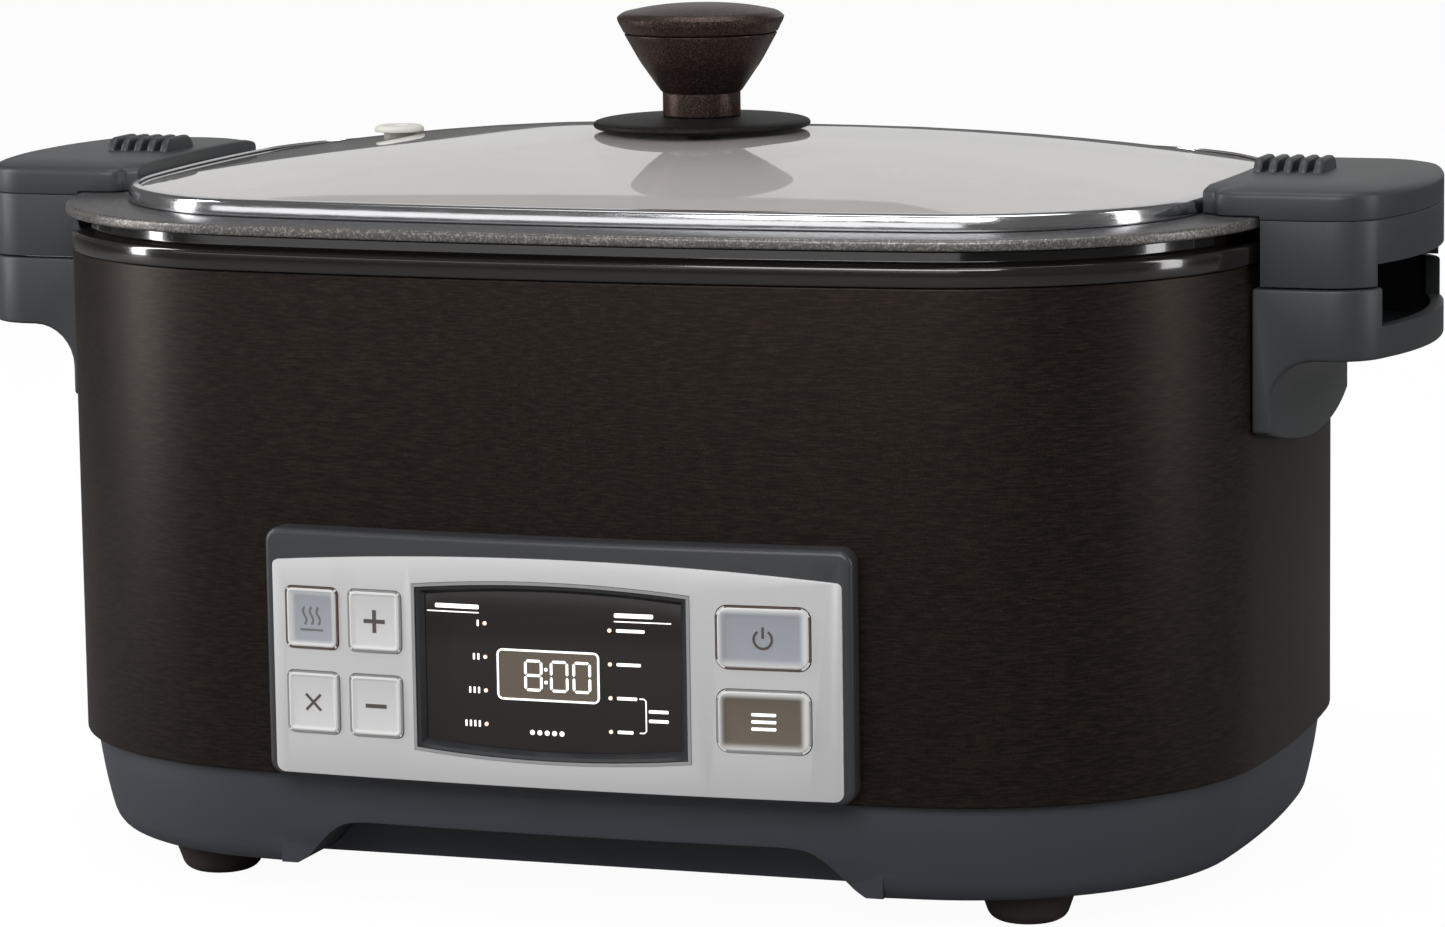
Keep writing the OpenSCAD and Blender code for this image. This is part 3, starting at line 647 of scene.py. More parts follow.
def button_paint(name, middle, centre, half):
    """A soft-edged middle on a light button. Centre and half size are in mm, seen from the front."""
    c = colours()
    f = Finish(name)
    split = f.node("SeparateXYZ", inputs={"Vector": f.place()}, output="X")
    height = f.node("SeparateXYZ", inputs={"Vector": f.place()}, output="Z")
    across = f.maths("ABSOLUTE", split - centre[0] * MM) - half[0] * MM
    up = f.maths("ABSOLUTE", height - centre[1] * MM) - half[1] * MM
    outside = f.node(
        "Math", {"operation": "SMOOTH_MAX"}, {0: across, 1: up, 2: 1.6 * MM}
    )
    edge = f.ramp(outside, -2.0 * MM, 0.2 * MM)
    fine = f.noise(0.5)
    base = f.blend(edge, middle, c.button_edge)
    f.set(Base_Color=base, Roughness=fine * 0.1 + 0.4)
    f.bump(fine, 0.01)
    return f.material


FINISHES = {
    "shell_paint": shell_paint,
    "collar_gloss": lambda name: moulded(name, colours().collar, 0.14, 0.8, 0.002, 0.12, Coat_Weight=0.6),
    "base_plastic": lambda name: moulded(name, colours().base, 0.47, 0.5, 0.025),
    "handle_plastic": lambda name: moulded(name, colours().handle, 0.46, 0.6, 0.03),
    "foot_rubber": lambda name: moulded(name, colours().foot, 0.62, 0.7, 0.04),
    "frame_plastic": lambda name: moulded(name, colours().frame, 0.4, 0.5, 0.015, 0.12),
    "fascia_silver": lambda name: moulded(name, colours().fascia, 0.42, 0.35, 0.006, 0.03, Metallic=0.15),
    "lip_grey": lambda name: moulded(name, colours().lip, 0.35, 0.4, 0.005, 0.05),
    "surround_black": lambda name: moulded(name, rgb(46, 47, 49), 0.24, 0.5, 0.004, 0.1),
    "display_black": lambda name: moulded(name, colours().display, 0.16, 0.6, 0.002, 0.06),
    "screen_taupe": lambda name: moulded(name, colours().screen, 0.35, 0.5, 0.003, 0.06),
    "lit_white": lambda name: glowing(name, (1.0, 0.99, 0.96), 0.9),
    "lamp_amber": lambda name: glowing(name, rgb(255, 222, 200), 0.9),
    "print_dark": lambda name: moulded(name, rgb(84, 74, 72), 0.5, 0.4, 0.004, 0.1),
    "print_grey": lambda name: moulded(name, rgb(112, 108, 108), 0.5, 0.4, 0.004, 0.1),
    "outline_brown": lambda name: moulded(name, rgb(86, 74, 68), 0.5, 0.4, 0.004, 0.1),
    "outline_grey": lambda name: moulded(name, rgb(138, 138, 138), 0.5, 0.4, 0.004, 0.08),
    "pot_coating": lambda name: speckled(name, colours().pot, rgb(110, 110, 112), 0.12, 0.9, 0.42, 0.2),
    "flange_sparkle": lambda name: speckled(
        name, rgb(84, 82, 80), rgb(158, 155, 151), 0.45, 0.5, 0.4, 0.6, 0.03
    ),
    "clear_glass": clear_glass,
    "rim_chrome": lambda name: metal(name, rgb(222, 222, 224), 0.12, 0.8, (12, 12, 1), 0.06),
    "steel": lambda name: metal(name, rgb(176, 176, 180), 0.32, 0.7, (6, 6, 1)),
    "knob_bronze": lambda name: speckled(name, rgb(44, 35, 32), colours().knob, 0.45, 0.32, 0.4, 0.75, 0.012),
    "skirt_black": lambda name: speckled(
        name, rgb(12, 11, 10), colours().skirt, 0.35, 0.55, 0.55, 0.3, 0.03, Specular_IOR_Level=0.2
    ),
    "cast_aluminium": lambda name: metal(name, rgb(150, 151, 154), 0.48, 1.2, (1, 1, 1), 0.2),
    "dark_element": lambda name: metal(name, rgb(84, 76, 72), 0.5, 1.0),
    "mineral_wool": lambda name: moulded(name, rgb(214, 206, 176), 0.95, 1.4, 0.5, 0.3),
    "ceramic": lambda name: moulded(name, rgb(226, 220, 206), 0.6, 0.8, 0.03, 0.08),
    "circuit_green": lambda name: moulded(name, rgb(24, 84, 50), 0.4, 1.8, 0.02, 0.3),
    "component_black": lambda name: moulded(name, rgb(34, 34, 38), 0.5, 0.8, 0.03),
    "wire_sleeve": lambda name: moulded(name, rgb(150, 34, 28), 0.55, 0.6, 0.03),
    "inlet_plastic": lambda name: moulded(name, rgb(26, 26, 28), 0.5, 0.6, 0.03),
    "silicone": lambda name: moulded(name, rgb(206, 204, 198), 0.6, 0.8, 0.02, 0.06),
}

MADE = {}  # the finishes made so far, by name


def finish(name):
    """A finish by its name, made once and kept apart from the frame's plain materials of the same name."""
    if isinstance(name, bpy.types.Material):
        return name
    if name not in MADE:
        MADE[name] = FINISHES[name](name + "_finish")
    return MADE[name]


def dress(name, *nodes):
    """Gives CAD nodes that keep their shape a better material."""
    for node in nodes:
        for slot in frame["nodes"][node].material_slots:
            slot.material = finish(name)


# ---- the housing ----
def bowed(half, z, bow, steps, x=0.0):
    """Points of a shallow arc from the left to the right that rises by the bow in its middle."""
    return [
        (x - half + 2 * half * i / steps, z + bow * (1 - (2 * i / steps - 1) ** 2)) for i in range(steps + 1)
    ]


def rounded(w, h, r, x=0.0, z=0.0):
    return [(x + i * w / 2, z + j * h / 2, r) for i, j in ((-1, -1), (1, -1), (1, 1), (-1, 1))]


class COOKER_OT_shell(bpy.types.Operator):
    """Makes the painted shell with its rolled edges, and the glossy collar above it"""

    bl_idname = "cooker.shell"
    bl_label = "Shell and collar"

    def execute(self, context):
        s = sizes()
        plan = Plan(s)
        low, high, wall, hem = s.shell_bottom, s.shell_top, 1.2, 6
        shell = swept(
            "shell",
            [(hem, low), (0, low, 0.9), (0, high, 0.9), (hem + 2, high), (hem + 2, high - wall)]
            + [(wall, high - wall), (wall, low + wall), (hem, low + wall)],
            plan,
        )
        half, front = 82, -s.half_depth  # the opening behind the panel
        opening = block((-half, front - 5, low + 6.8), (half, front + 15, s.panel_top - 5.4))
        combine(shell, opening)
        done(shell, "housing", ["outer_shell"], "shell_paint", "shell_paint")
        top, seat = 197.3, COLLAR[1].z / MM
        collar = swept(
            "collar",
            [(-1, high, 0.7), (-1, top, 1.4), (6, top, 0.8), (6, seat, 1), (20, seat, 1), (20, high)],
            plan,
        )
        done(collar, "housing", ["top_collar"], "collar_gloss", "collar_gloss")
        return {"FINISHED"}


FOOT_X, FOOT_Y = 129.5, 89.5  # mm from the middle to each foot
SCREW_X, SCREW_Y = 100, 55  # mm from the middle to each base screw


class COOKER_OT_base(bpy.types.Operator):
    """Makes the plastic base with its front recess, vents and screw holes, and the four feet"""

    bl_idname = "cooker.base"
    bl_label = "Base and feet"

    def execute(self, context):
        s = sizes()
        plan = Plan(s)
        low, high, floor = s.base_bottom, s.shell_bottom, s.base_bottom + 3
        base = swept(
            "base",
            [(13.5, low), (10.6, low + 0.5, 1.2), (8.2, low + 3.2, 2), (5.6, low + 13, 6), (3, high, 0.5)]
            + [(10.5, high, 0.5), (10.5, floor)],
            plan,
            closed=False,
        )
        front, recess_top, depth = -s.half_depth, low + 15.5, 35
        housing = upright(
            "recess_housing",
            [(-95, front + 11), (95, front + 11), (95, front + depth + 8), (-95, front + depth + 8)],
            low + 1,
            recess_top + 3,
        )
        combine(base, housing, "UNION")
        profile = [(-96, 0), (-92, low), (-87.5, low + 1.8, 4)]
        profile += [(-76, recess_top - 1.5, 7), (-68, recess_top, 4)]
        profile += [(-x, z, *more) for x, z, *more in reversed(profile)]
        recess = prism("recess", profile, lambda x, z: (x, front - 5, z), (0, depth + 5, 0), 6)
        combine(base, recess)
        for x in (-1, 1):
            for y in (-1, 1):
                screw, stand = (x * SCREW_X, y * SCREW_Y), (x * FOOT_X, y * FOOT_Y)
                for at, radius, deep in ((screw, 2.2, 30), (screw, 4.3, 10.4), (stand, 4.1, 30)):
                    line = [(0, 0), (radius, 0), (radius, deep), (0, deep)]
                    combine(base, lathed("hole", line, at, 24))
        for i in range(8):
            x = 30 + i * 8
            slot = upright("vent", [(x, -20, 1.4), (x + 3, -20, 1.4), (x + 3, 20, 1.4), (x, 20, 1.4)], 0, 20)
            combine(base, slot)
        inlet = (INLET[0] + INLET[1]) / 2 / MM
        opening = rounded(32.3, 24.3, 3, inlet.x, inlet.z)
        combine(base, prism("opening", opening, lambda x, z: (x, 105, z), (0, 45, 0)))
        soften(base, 0.8, 3, 38)
        done(base, "housing", ["base_tray"], "base_plastic", "base_plastic")
        section = [(0, 0), (8.5, 0, 1.2), (11.6, 1.6, 1.6), (12.6, 4.6, 2)]
        section += [(14.6, low), (4, low), (4, floor), (0, floor)]
        foot = lathed("foot_front_right", section, (FOOT_X, -FOOT_Y), 48)
        for name, left, rear in (("front_left", 1, 0), ("rear_left", 1, 1), ("rear_right", 0, 1)):
            twin = copy_of(foot, "foot_" + name, (-2 * FOOT_X * left, 2 * FOOT_Y * rear, 0))
            done(twin, "housing", ["foot_" + name], "foot_rubber", "foot_rubber")
        done(foot, "housing", ["foot_front_right"], "foot_rubber", "foot_rubber")
        return {"FINISHED"}


# Centre, size and corner radius of each button in mm, seen from the front
BUTTONS = {
    "keep_warm": (-75.2, 89.7, 17.5, 19, 2.5),
    "plus": (-54.8, 89.7, 17.5, 19, 2.5),
    "cancel": (-75.2, 64.3, 17.5, 19, 2.5),
    "minus": (-54.8, 64.3, 17.5, 19, 2.5),
    "power": (64.8, 90, 28.6, 19, 4),
    "menu": (64.8, 65.5, 28.6, 19, 4),
}
DISPLAY_X, DISPLAY_HALF, DISPLAY_LOW, DISPLAY_HIGH, DISPLAY_BOW = 0, 43, 51.9, 101.6, 2.2
DISPLAY_FACE = 6.1  # mm from the shell to the display's face


def display_outline(d):
    """The display's outline, drawn in by d."""
    low = bowed(DISPLAY_HALF - d, DISPLAY_LOW + d, -DISPLAY_BOW, 14, DISPLAY_X)
    high = bowed(DISPLAY_HALF - d, DISPLAY_HIGH - d, DISPLAY_BOW, 14, DISPLAY_X)
    return low + high[::-1]


def cut_openings(piece, near, far):
    """Cuts the display's and the buttons' openings through a flat panel piece."""
    combine(piece, plate("opening", display_outline(0), near, far))
    for x, z, w, h, r in BUTTONS.values():
        combine(piece, plate("opening", rounded(w, h, r * 0.9, x, z), near, far, 5))


class COOKER_OT_panel(bpy.types.Operator):
    """Makes the panel's frame, its silver sheet, and the display's surround and face"""

    bl_idname = "cooker.panel"
    bl_label = "Control panel"

    def execute(self, context):
        s = sizes()
        plan = Plan(s)
        middle, height = (s.panel_top + s.panel_bottom) / 2, s.panel_top - s.panel_bottom
        depth = s.panel_depth
        panel = plate("panel_frame", rounded(2 * s.panel_half, height, 4.5, 0, middle), 0.1, depth, 6)
        pick(panel, facing(1, -depth, -1))
        bpy.ops.mesh.bevel(offset=1.7 * MM, segments=4, affect="EDGES")
        pocket = rounded(2 * s.panel_half - 8, height - 10, 2, 0, middle)
        combine(panel, plate("pocket", pocket, -1, depth - 2.6))
        cut_openings(panel, -2, depth + 2)
        done(bent(panel, plan, s), "housing", ["panel_frame"], "panel_plastic", "frame_plastic")

        half, low, side_top, rise = 88, 42.6, 106.5, 4
        top = bowed(half, side_top, rise, 20)[::-1]
        edge = [(-half, low, 2.6), (half, low, 2.6), (*top[0], 1.6), *top[1:-1], (*top[-1], 1.6)]
        sheet = plate("panel_sheet", edge, depth - 0.3, depth + 0.8)
        pick(sheet, facing(1, -depth - 0.8, -1))
        bpy.ops.mesh.bevel(offset=0.2 * MM, segments=2, affect="EDGES")
        cut_openings(sheet, depth - 2, depth + 2)
        done(bent(sheet, plan, s), "housing", ["panel_fascia"], "fascia_silver", "fascia_silver")

        face = depth + 0.95
        surround = plate("display_surround", display_outline(0.1), 5.9, face)
        pick(surround, facing(1, -face, -1))
        inset(0.95)
        inset(0.25, -0.5)
        inset(0.9, -0.2)
        inset(1.3, -2.0)
        combine(surround, plate("opening", display_outline(3.3), 4, depth + 4))
        looks = ("surround_black", "lip_grey")
        for look in looks:
            surround.data.materials.append(finish(look))
        paint(surround, facing(1, -face, -1), 1)
        done(bent(surround, plan, s), "housing", ["display_bezel"], "panel_plastic", *looks)

        window = plate("display_face", display_outline(0.5), DISPLAY_FACE - 1.5, DISPLAY_FACE)
        pick(window, facing(1, -DISPLAY_FACE, -1))
        bpy.ops.mesh.bevel(offset=0.2 * MM, segments=2, affect="EDGES")
        done(bent(window, plan, s), "housing", ["display_window"], "display_lens", "display_black")
        return {"FINISHED"}


def stroke(points, width):
    """The outline of a line drawn with a flat pen."""
    points = [Vector(p) for p in points]
    left, right = [], []
    for i, at in enumerate(points):
        before, after = points[max(i - 1, 0)], points[min(i + 1, len(points) - 1)]
        along = (after - before).normalized()
        side = Vector((-along.y, along.x)) * width / 2
        left.append(tuple(at + side))
        right.append(tuple(at - side))
    return left + right[::-1]


def curve(x, z, radius, start, end, steps):
    """Points on a circle, in degrees from the right, anticlockwise."""
    angles = (math.radians(start + (end - start) * i / steps) for i in range(steps + 1))
    return [(x + radius * math.cos(a), z + radius * math.sin(a)) for a in angles]


def bar(x, z, w, h, r=0.0):
    return rounded(w, h, r, x, z)


def digit(segments, x, z):
    """The strokes of a seven-part figure, 5.7 mm wide and 9.4 mm tall."""
    w, h, t, gap = 5.7, 9.4, 0.8, 0.22
    flat, tall = w - t - 2 * gap, h / 2 - t / 2 - 2 * gap
    side, mid = (w - t) / 2, (h - t) / 4
    spots = {
        "a": (0, h / 2 - t / 2, 0), "g": (0, 0, 0), "d": (0, t / 2 - h / 2, 0),
        "b": (side, mid, 1), "c": (side, -mid, 1), "e": (-side, -mid, 1), "f": (-side, mid, 1),
    }
    lines = []
    for dx, dz, tall_one in (spots[key] for key in segments):
        reach, slim = (tall if tall_one else flat) / 2, t / 2
        tip = [(-reach, 0), (slim - reach, -slim), (reach - slim, -slim), (reach, 0), (reach - slim, slim)]
        tip.append((slim - reach, slim))
        lines.append([(x + dx + (b if tall_one else a), z + dz + (a if tall_one else b)) for a, b in tip])
    return lines


LAMP_RADIUS, LAMP_PITCH = 0.6, 10
LAMPS_LEFT = [(-20.9, 60.4 + LAMP_PITCH * i) for i in range(4)]
LAMPS_RIGHT = [(17.8, 60 + LAMP_PITCH * i) for i in range(4)]


class COOKER_OT_display(bpy.types.Operator):
    """Makes the time display, its figures, the lamps and the small marks beside them"""

    bl_idname = "cooker.display"
    bl_label = "Display marks"

    def execute(self, context):
        s = sizes()
        plan = Plan(s)
        face = DISPLAY_FACE
        x, z, w, h = -1.4, 75.6, 31.8, 15.2
        edge = plate("screen_frame", rounded(w, h, 1.8, x, z), face - 0.3, face + 0.3, 5)
        combine(edge, plate("opening", rounded(w - 1.2, h - 1.2, 1.1, x, z), face - 1, face + 1, 4))
        soften(edge, 0.08, 2)
        screen = plate("screen", rounded(w - 1.0, h - 1.0, 1.1, x, z), face - 0.3, face + 0.12, 4)
        figures = digit("abcdefg", -5.9, z) + digit("abcdef", 2.1, z) + digit("abcdef", 9.1, z)
        figures += [bar(-2.0, z + k, 1.0, 1.0, 0.3) for k in (-1.9, 1.9)]
        marks = [bar(-29.6, 95.1, 13.8, 1.3, 0.4), bar(-30.9, 93.4, 16.3, 0.35)]
        marks += [bar(25.2, 94.5, 11.9, 1.3, 0.4), bar(27.9, 92.7, 17.4, 0.35)]
        for i, (lx, lz) in enumerate(LAMPS_LEFT):
            marks += [bar(lx - 2.2 - 1.4 * k, lz, 0.62, 1.9, 0.2) for k in range(4 - i)]
        for i, (lx, lz) in enumerate(LAMPS_RIGHT):
            wide = 4.8 + 1.3 * i
            marks.append(bar(lx + 2 + wide / 2, lz, wide, 0.95, 0.3))
        bracket = [(26.6, 70.1), (28.0, 70.1), (28.6, 69.5), (28.6, 60.6), (28.0, 60), (26.6, 60)]
        marks += [stroke(bracket, 0.36), bar(32.4, 66.5, 6, 0.95, 0.3), bar(32.4, 63.7, 6, 0.95, 0.3)]
        marks += [bar(-6.6 + 2.3 * k, 58.6, 1.5, 1.5, 0.7) for k in range(5)]
        dots = [curve(lx, lz, LAMP_RADIUS, 0, 330, 11) for lx, lz in LAMPS_LEFT + LAMPS_RIGHT]
        raised = {
            "screen_figures": ([plate("mark", line, face, face + 0.25, 3) for line in figures], "lit_white"),
            "display_marks": (
                [plate("mark", line, face - 0.2, face + 0.12, 3) for line in marks], "lit_white"
            ),
            "display_lamps": ([plate("lamp", dot, face - 0.2, face + 0.3) for dot in dots], "lamp_amber"),
        }
        done(bent(edge, plan, s), "housing", [], "display_lens", "lit_white")
        done(bent(screen, plan, s), "housing", [], "display_lens", "screen_taupe")
        for name, (parts, look) in raised.items():
            piece = joined(parts, name)
            slot = "led_lens" if name == "display_lamps" else "display_lens"
            done(bent(piece, plan, s), "housing", [], slot, look)
        return {"FINISHED"}


def button_icons():
    """Strokes of the generic sign on each button, from its centre."""
    wave = [(0.55 * math.sin(2 * math.pi * i / 12), -2.6 + 5.2 * i / 12) for i in range(13)]
    power = curve(0, -0.3, 2.7, 125, 415, 20)
    return {
        "keep_warm": [stroke([(dx + x, z + 0.6) for x, z in wave], 0.62) for dx in (-2.2, 0, 2.2)]
        + [bar(0, -3.6, 7.4, 0.62, 0.2)],
        "plus": [[(-3.4, -0.6), (-0.6, -0.6), (-0.6, -3.4), (0.6, -3.4), (0.6, -0.6), (3.4, -0.6)]
                 + [(3.4, 0.6), (0.6, 0.6), (0.6, 3.4), (-0.6, 3.4), (-0.6, 0.6), (-3.4, 0.6)]],
        "cancel": [stroke([(-2.4, -2.4), (2.4, 2.4)], 0.8), stroke([(-2.4, 2.4), (2.4, -2.4)], 0.8)],
        "minus": [bar(0, 0, 6.8, 1.2)],
        "power": [stroke(power, 0.75), bar(0, 1.6, 0.75, 3.4, 0.2)],
        "menu": [bar(0, k, 7.4, 0.9, 0.3) for k in (-2.1, 0, 2.1)],
    }


# The menu sign's white print gets the glowing lit_white finish: a painted glow, since the sign is no lamp.
BUTTON_INKS_AND_GLOW = {"menu": "lit_white", "keep_warm": "print_grey"}  # the other signs are dark


class COOKER_OT_buttons(bpy.types.Operator):
    """Makes the six push buttons: a cap, its outline, its raised border and a sign on its middle"""

    bl_idname = "cooker.buttons"
    bl_label = "Buttons"

    @staticmethod
    def cap(w, h, r, depth):
        """A flat button cap about the origin, with a thin outline ring and a dished middle."""
        front = depth + 1.1
        piece = plate("cap", rounded(w - 0.35, h - 0.35, r - 0.2), depth - 4, front, 5)
        pick(piece, facing(1, -front, -1))
        inset(0.6)
        share = (r - 0.8) / 3.4
        for across, up in ((0.35, 0.3), (0.9, 0.1), (0.9, -0.25), (0.9, -0.12)):
            inset(across * share, up)
        return piece

    def execute(self, context):
        s = sizes()
        plan, depth, c = Plan(s), s.panel_depth, colours()
        patterns = {size: self.cap(*size, depth) for size in {b[2:] for b in BUTTONS.values()}}
        middles = {"keep_warm": c.button_blue, "power": c.button_blue, "menu": c.button_taupe}
        slots = {"keep_warm": "button_blue_grey", "power": "button_blue_grey", "menu": "button_taupe"}
        for name, strokes in button_icons().items():
            x, z, w, h, r = BUTTONS[name]
            button = copy_of(patterns[(w, h, r)], "button_cap_" + name, (x, 0, z))
            deselect()
            outline = "outline_brown" if name in ("keep_warm", "power") else "outline_grey"
            middle = middles.get(name, c.button)
            look = button_paint(name + "_button", middle, (x, z), (w / 2 - 1.2, h / 2 - 1.2))
            button.data.materials.append(look)
            button.data.materials.append(finish(outline))
            rim = 0.65

            def at_edge(face, x=x, z=z, w=w, h=h):
                spot = face.calc_center_median() / MM
                level = -spot.y < depth + 1.12
                return level and (abs(spot.x - x) > w / 2 - 0.2 - rim or abs(spot.z - z) > h / 2 - 0.2 - rim)

            paint(button, at_edge, 1)
            slot = slots.get(name, "button_light")
            done(bent(button, plan, s), "button_" + name, ["button_" + name], slot, look, outline, degrees=24)
            near = depth + 0.9
            lines = [[(x + p[0], z + p[1], *p[2:]) for p in line] for line in strokes]
            sign = joined([plate("sign", line, near, near + 0.32, 3) for line in lines], "sign_" + name)
            # The menu sign glows with painted light; the other signs are plain print.
            ink_and_glow = BUTTON_INKS_AND_GLOW.get(name, "print_dark")
            done(bent(sign, plan, s), "button_" + name, [], slot, ink_and_glow)
        for piece in patterns.values():
            bpy.data.objects.remove(piece, do_unlink=True)
        return {"FINISHED"}


# ---- handles: drawn on the right-hand end and mirrored for the left ----
END_ROUND, SIDE_ROUND = 120.6, 16


def handle_line(s, inner, d=0.0):
    """The outline of a handle, drawn in by d, from its inner points round its outer end."""
    end_mid, side_y = s.handle_reach - END_ROUND, s.handle_half - SIDE_ROUND
    side_x = end_mid + math.sqrt((END_ROUND - SIDE_ROUND) ** 2 - side_y**2)
    turn = math.degrees(math.atan2(side_y, side_x - end_mid))
    half = s.handle_half - d
    return (
        [(x, -(y - d), *more) for x, y, *more in inner]
        + [(side_x, -half), Arc((side_x, -side_y), 90 - turn, 8), Arc((end_mid, 0), 2 * turn, 16)]
        + [Arc((side_x, side_y), 90 - turn, 8)]
        + [(x, y - d, *more) for x, y, *more in reversed(inner)]
    )


def end_shell(plan, d, low, high, reach=70):
    """The middle of the housing's right-hand end as a solid that reaches out by d, for cutting."""
    y = reach
    x = plan.end_at(y, -d)
    angle = math.degrees(math.atan2(y, x - plan.end_centre.x))
    line = [(100, -y), (x, -y), Arc(plan.end_centre, 2 * angle, 24), (100, y)]
    return upright("end", line, low, high)


def along_end(plan, x, y):
    """The arc beside the housing's end that closes a handle's outline, from (x, y) to (x, -y)."""
    back = math.degrees(math.atan2(y, x - plan.end_centre.x))
    return Arc(plan.end_centre, 0.02 - 2 * back, 12)


def both_sides(right, name, body, slot, look, degrees=30):
    """Finishes a right-hand piece and its mirrored left-hand twin."""
    left = copy_of(right, name + "_left", mirrored=True)
    for side, piece in (("left", left), ("right", right)):
        piece.name = piece.data.name = f"{name}_{side}_piece"
        done(piece, body, [f"{name}_{side}"], slot, look, degrees=degrees)


class COOKER_OT_housing_handles(bpy.types.Operator):
    """Makes the two fixed handles: a pad on the shell that flares out into a tray under the pot's handle"""

    bl_idname = "cooker.housing_handles"
    bl_label = "Housing handles"

    def execute(self, context):
        s = sizes()
        plan = Plan(s)
        bottom, top, pad, pad_low = HANDLE[0].z / MM + 28.3, HANDLE[1].z / MM, 5.5, HANDLE[0].z / MM
        reach = s.handle_reach + 6
        out = s.half_width
        profile = [(out + 0.1, pad_low - 2), (out + pad, pad_low - 2), (out + pad, bottom, 13)]
        profile += [(reach, bottom), (reach, top), (out + 0.1, top)]
        handle = draw("housing_handle", profile, lambda x, z: (x, 0, z), True, 8)
        bpy.ops.mesh.select_all(action="SELECT")
        half_turn, centre = 6, (*plan.end_centre * MM, 0)
        bpy.ops.transform.rotate(value=math.radians(half_turn), orient_axis="Z", center_override=centre)
        turned = next(iter(bmesh.from_edit_mesh(handle.data).verts)).co.y
        spin(plan.end_centre, (2 if turned < 0 else -2) * half_turn, 24)
        bpy.ops.mesh.select_all(action="SELECT")
        bpy.ops.mesh.fill_holes(sides=0)
        tidy()
        outline = upright("outline", handle_line(s, [(150, s.handle_half)]), pad_low - 10, top + 10)
        combine(handle, outline, "INTERSECT")
        below = [(-60, 100), (60, 100)] + bowed(60, pad_low + 8.65, -8.65, 16)[::-1]
        combine(handle, end_view("below", below, 150, 220))
        soften(handle, 1.6, 3, 35)
        floor, wall, half = bottom + 4, 4, s.handle_half
        inner = plan.end_at(half - wall, -wall)
        pocket = handle_line(s, [(inner, half)], wall) + [along_end(plan, inner, half - wall)]
        combine(handle, upright("pocket", pocket, floor, top + 5))
        combine(handle, block((s.handle_reach - 16, -41, 172.4), (s.handle_reach + 20, 41, top + 5)))
        both_sides(handle, "housing_handle", "housing", "handle_plastic", "handle_plastic")
        dress("steel", "housing_handle_screws")
        return {"FINISHED"}


# How far each step of the pot handle's cover is drawn in and raised, in mm, from its edge to its top
COVER_STEPS = ((0.15, 0.8), (0.4, 0.6), (0.6, 0.4), (1.2, 0.35), (3.2, 0.6), (4.0, 0.5), (5.0, 0.35))


class COOKER_OT_pot_handles(bpy.types.Operator):
    """Makes the pot's two handles: a hollow body, a domed cover and its ribbed thumb grip"""

    bl_idname = "cooker.pot_handles"
    bl_label = "Pot handles"

    def execute(self, context):
        s = sizes()
        plan = Plan(s)
        half, parting, low, gap = s.handle_half, 204, HANDLE[1].z / MM + 0.5, 2.6
        inner = plan.end_at(half, -gap)
        line = handle_line(s, [(inner, half)]) + [along_end(plan, inner, half)]
        body = upright("pot_handle_body", line, low, parting)
        combine(body, block((207, -43, low - 5), (s.handle_reach + 20, 43, 191)))
        soften(body, 1.5, 3, 35)
        wall = 3
        inside = plan.end_at(half - wall, -gap - wall)
        pocket = handle_line(s, [(inside, half)], wall) + [along_end(plan, inside, half - wall)]
        combine(body, upright("pocket", pocket, 194, parting + 5))
        both_sides(body, "pot_handle_body", "pot", "handle_plastic", "handle_plastic")

        tip = [(166, 45), (175.4, 46.8, 1.2), (177.2, 50.8, 2), (182, half, 2)]
        side = 6.4
        cover = upright("pot_handle_cover", handle_line(s, tip), parting, parting + side)
        pick(cover, facing(2, parting + side))
        for across, up in COVER_STEPS:
            crown(cover, across, up)
        tidy()
        combine(cover, end_shell(plan, 2.3, parting - 5, s.flange_top + 0.2))
        combine(cover, end_shell(plan, -16.6, parting - 5, 240))
        soften(cover, 0.9, 3, 30)
        x, t, pitch = 188.5, 2.7, 4.6
        rib_low, shoulder, high = 211.5, 214.3, COVER[1].z / MM
        rib_line = [(-10.5, rib_low), (-10.5, shoulder, 1.2), (-8.0, high, 2.6)]
        rib_line += [(8.5, high, 2.6), (11, shoulder, 1.2), (11, rib_low)]
        rib = end_view("rib", rib_line, x - t / 2, x + t / 2, 5)
        soften(rib, 0.9, 3, 50)
        for i in range(-2, 3):
            combine(cover, copy_of(rib, "rib_copy", (i * pitch, 0, 0)), "UNION")
        bpy.data.objects.remove(rib, do_unlink=True)
        both_sides(cover, "pot_handle_cover", "pot", "handle_plastic", "handle_plastic")
        dress("steel", "pot_handle_brackets", "pot_handle_screws")
        return {"FINISHED"}


class COOKER_OT_pot(bpy.types.Operator):
    """Makes the coated cooking pot, whose thick flange hangs over the collar"""

    bl_idname = "cooker.pot"
    bl_label = "Cooking pot"

    def execute(self, context):
        s = sizes()
        top, low = s.flange_top, POT[0].z / MM
        under = top - 3.25
        section = [(46, low), (33.5, low, 6), (30.6, low + 12, 4), (27.2, under, 2), (-1.9, under, 0.7)]
        section += [(-1.9, top, 1.2), (29.2, top, 2), (33.4, low + 16, 6), (36.5, low + 3, 6), (46, low + 3)]
        pot = swept("pot", section, Plan(s), closed=False, segments=5)
        bpy.ops.object.mode_set(mode="OBJECT")
        pot.data.materials.append(finish("pot_coating"))
        pot.data.materials.append(finish("flange_sparkle"))

        def on_edge(face):
            spot = face.calc_center_median() / MM
            return spot.z > under - 0.1 and abs(face.normal.z) < 0.9 and spot.xy.length > 120

        paint(pot, on_edge, 1)
        done(pot, "pot", ["cooking_pot"], "pot_coating", "pot_coating", "flange_sparkle")
        return {"FINISHED"}


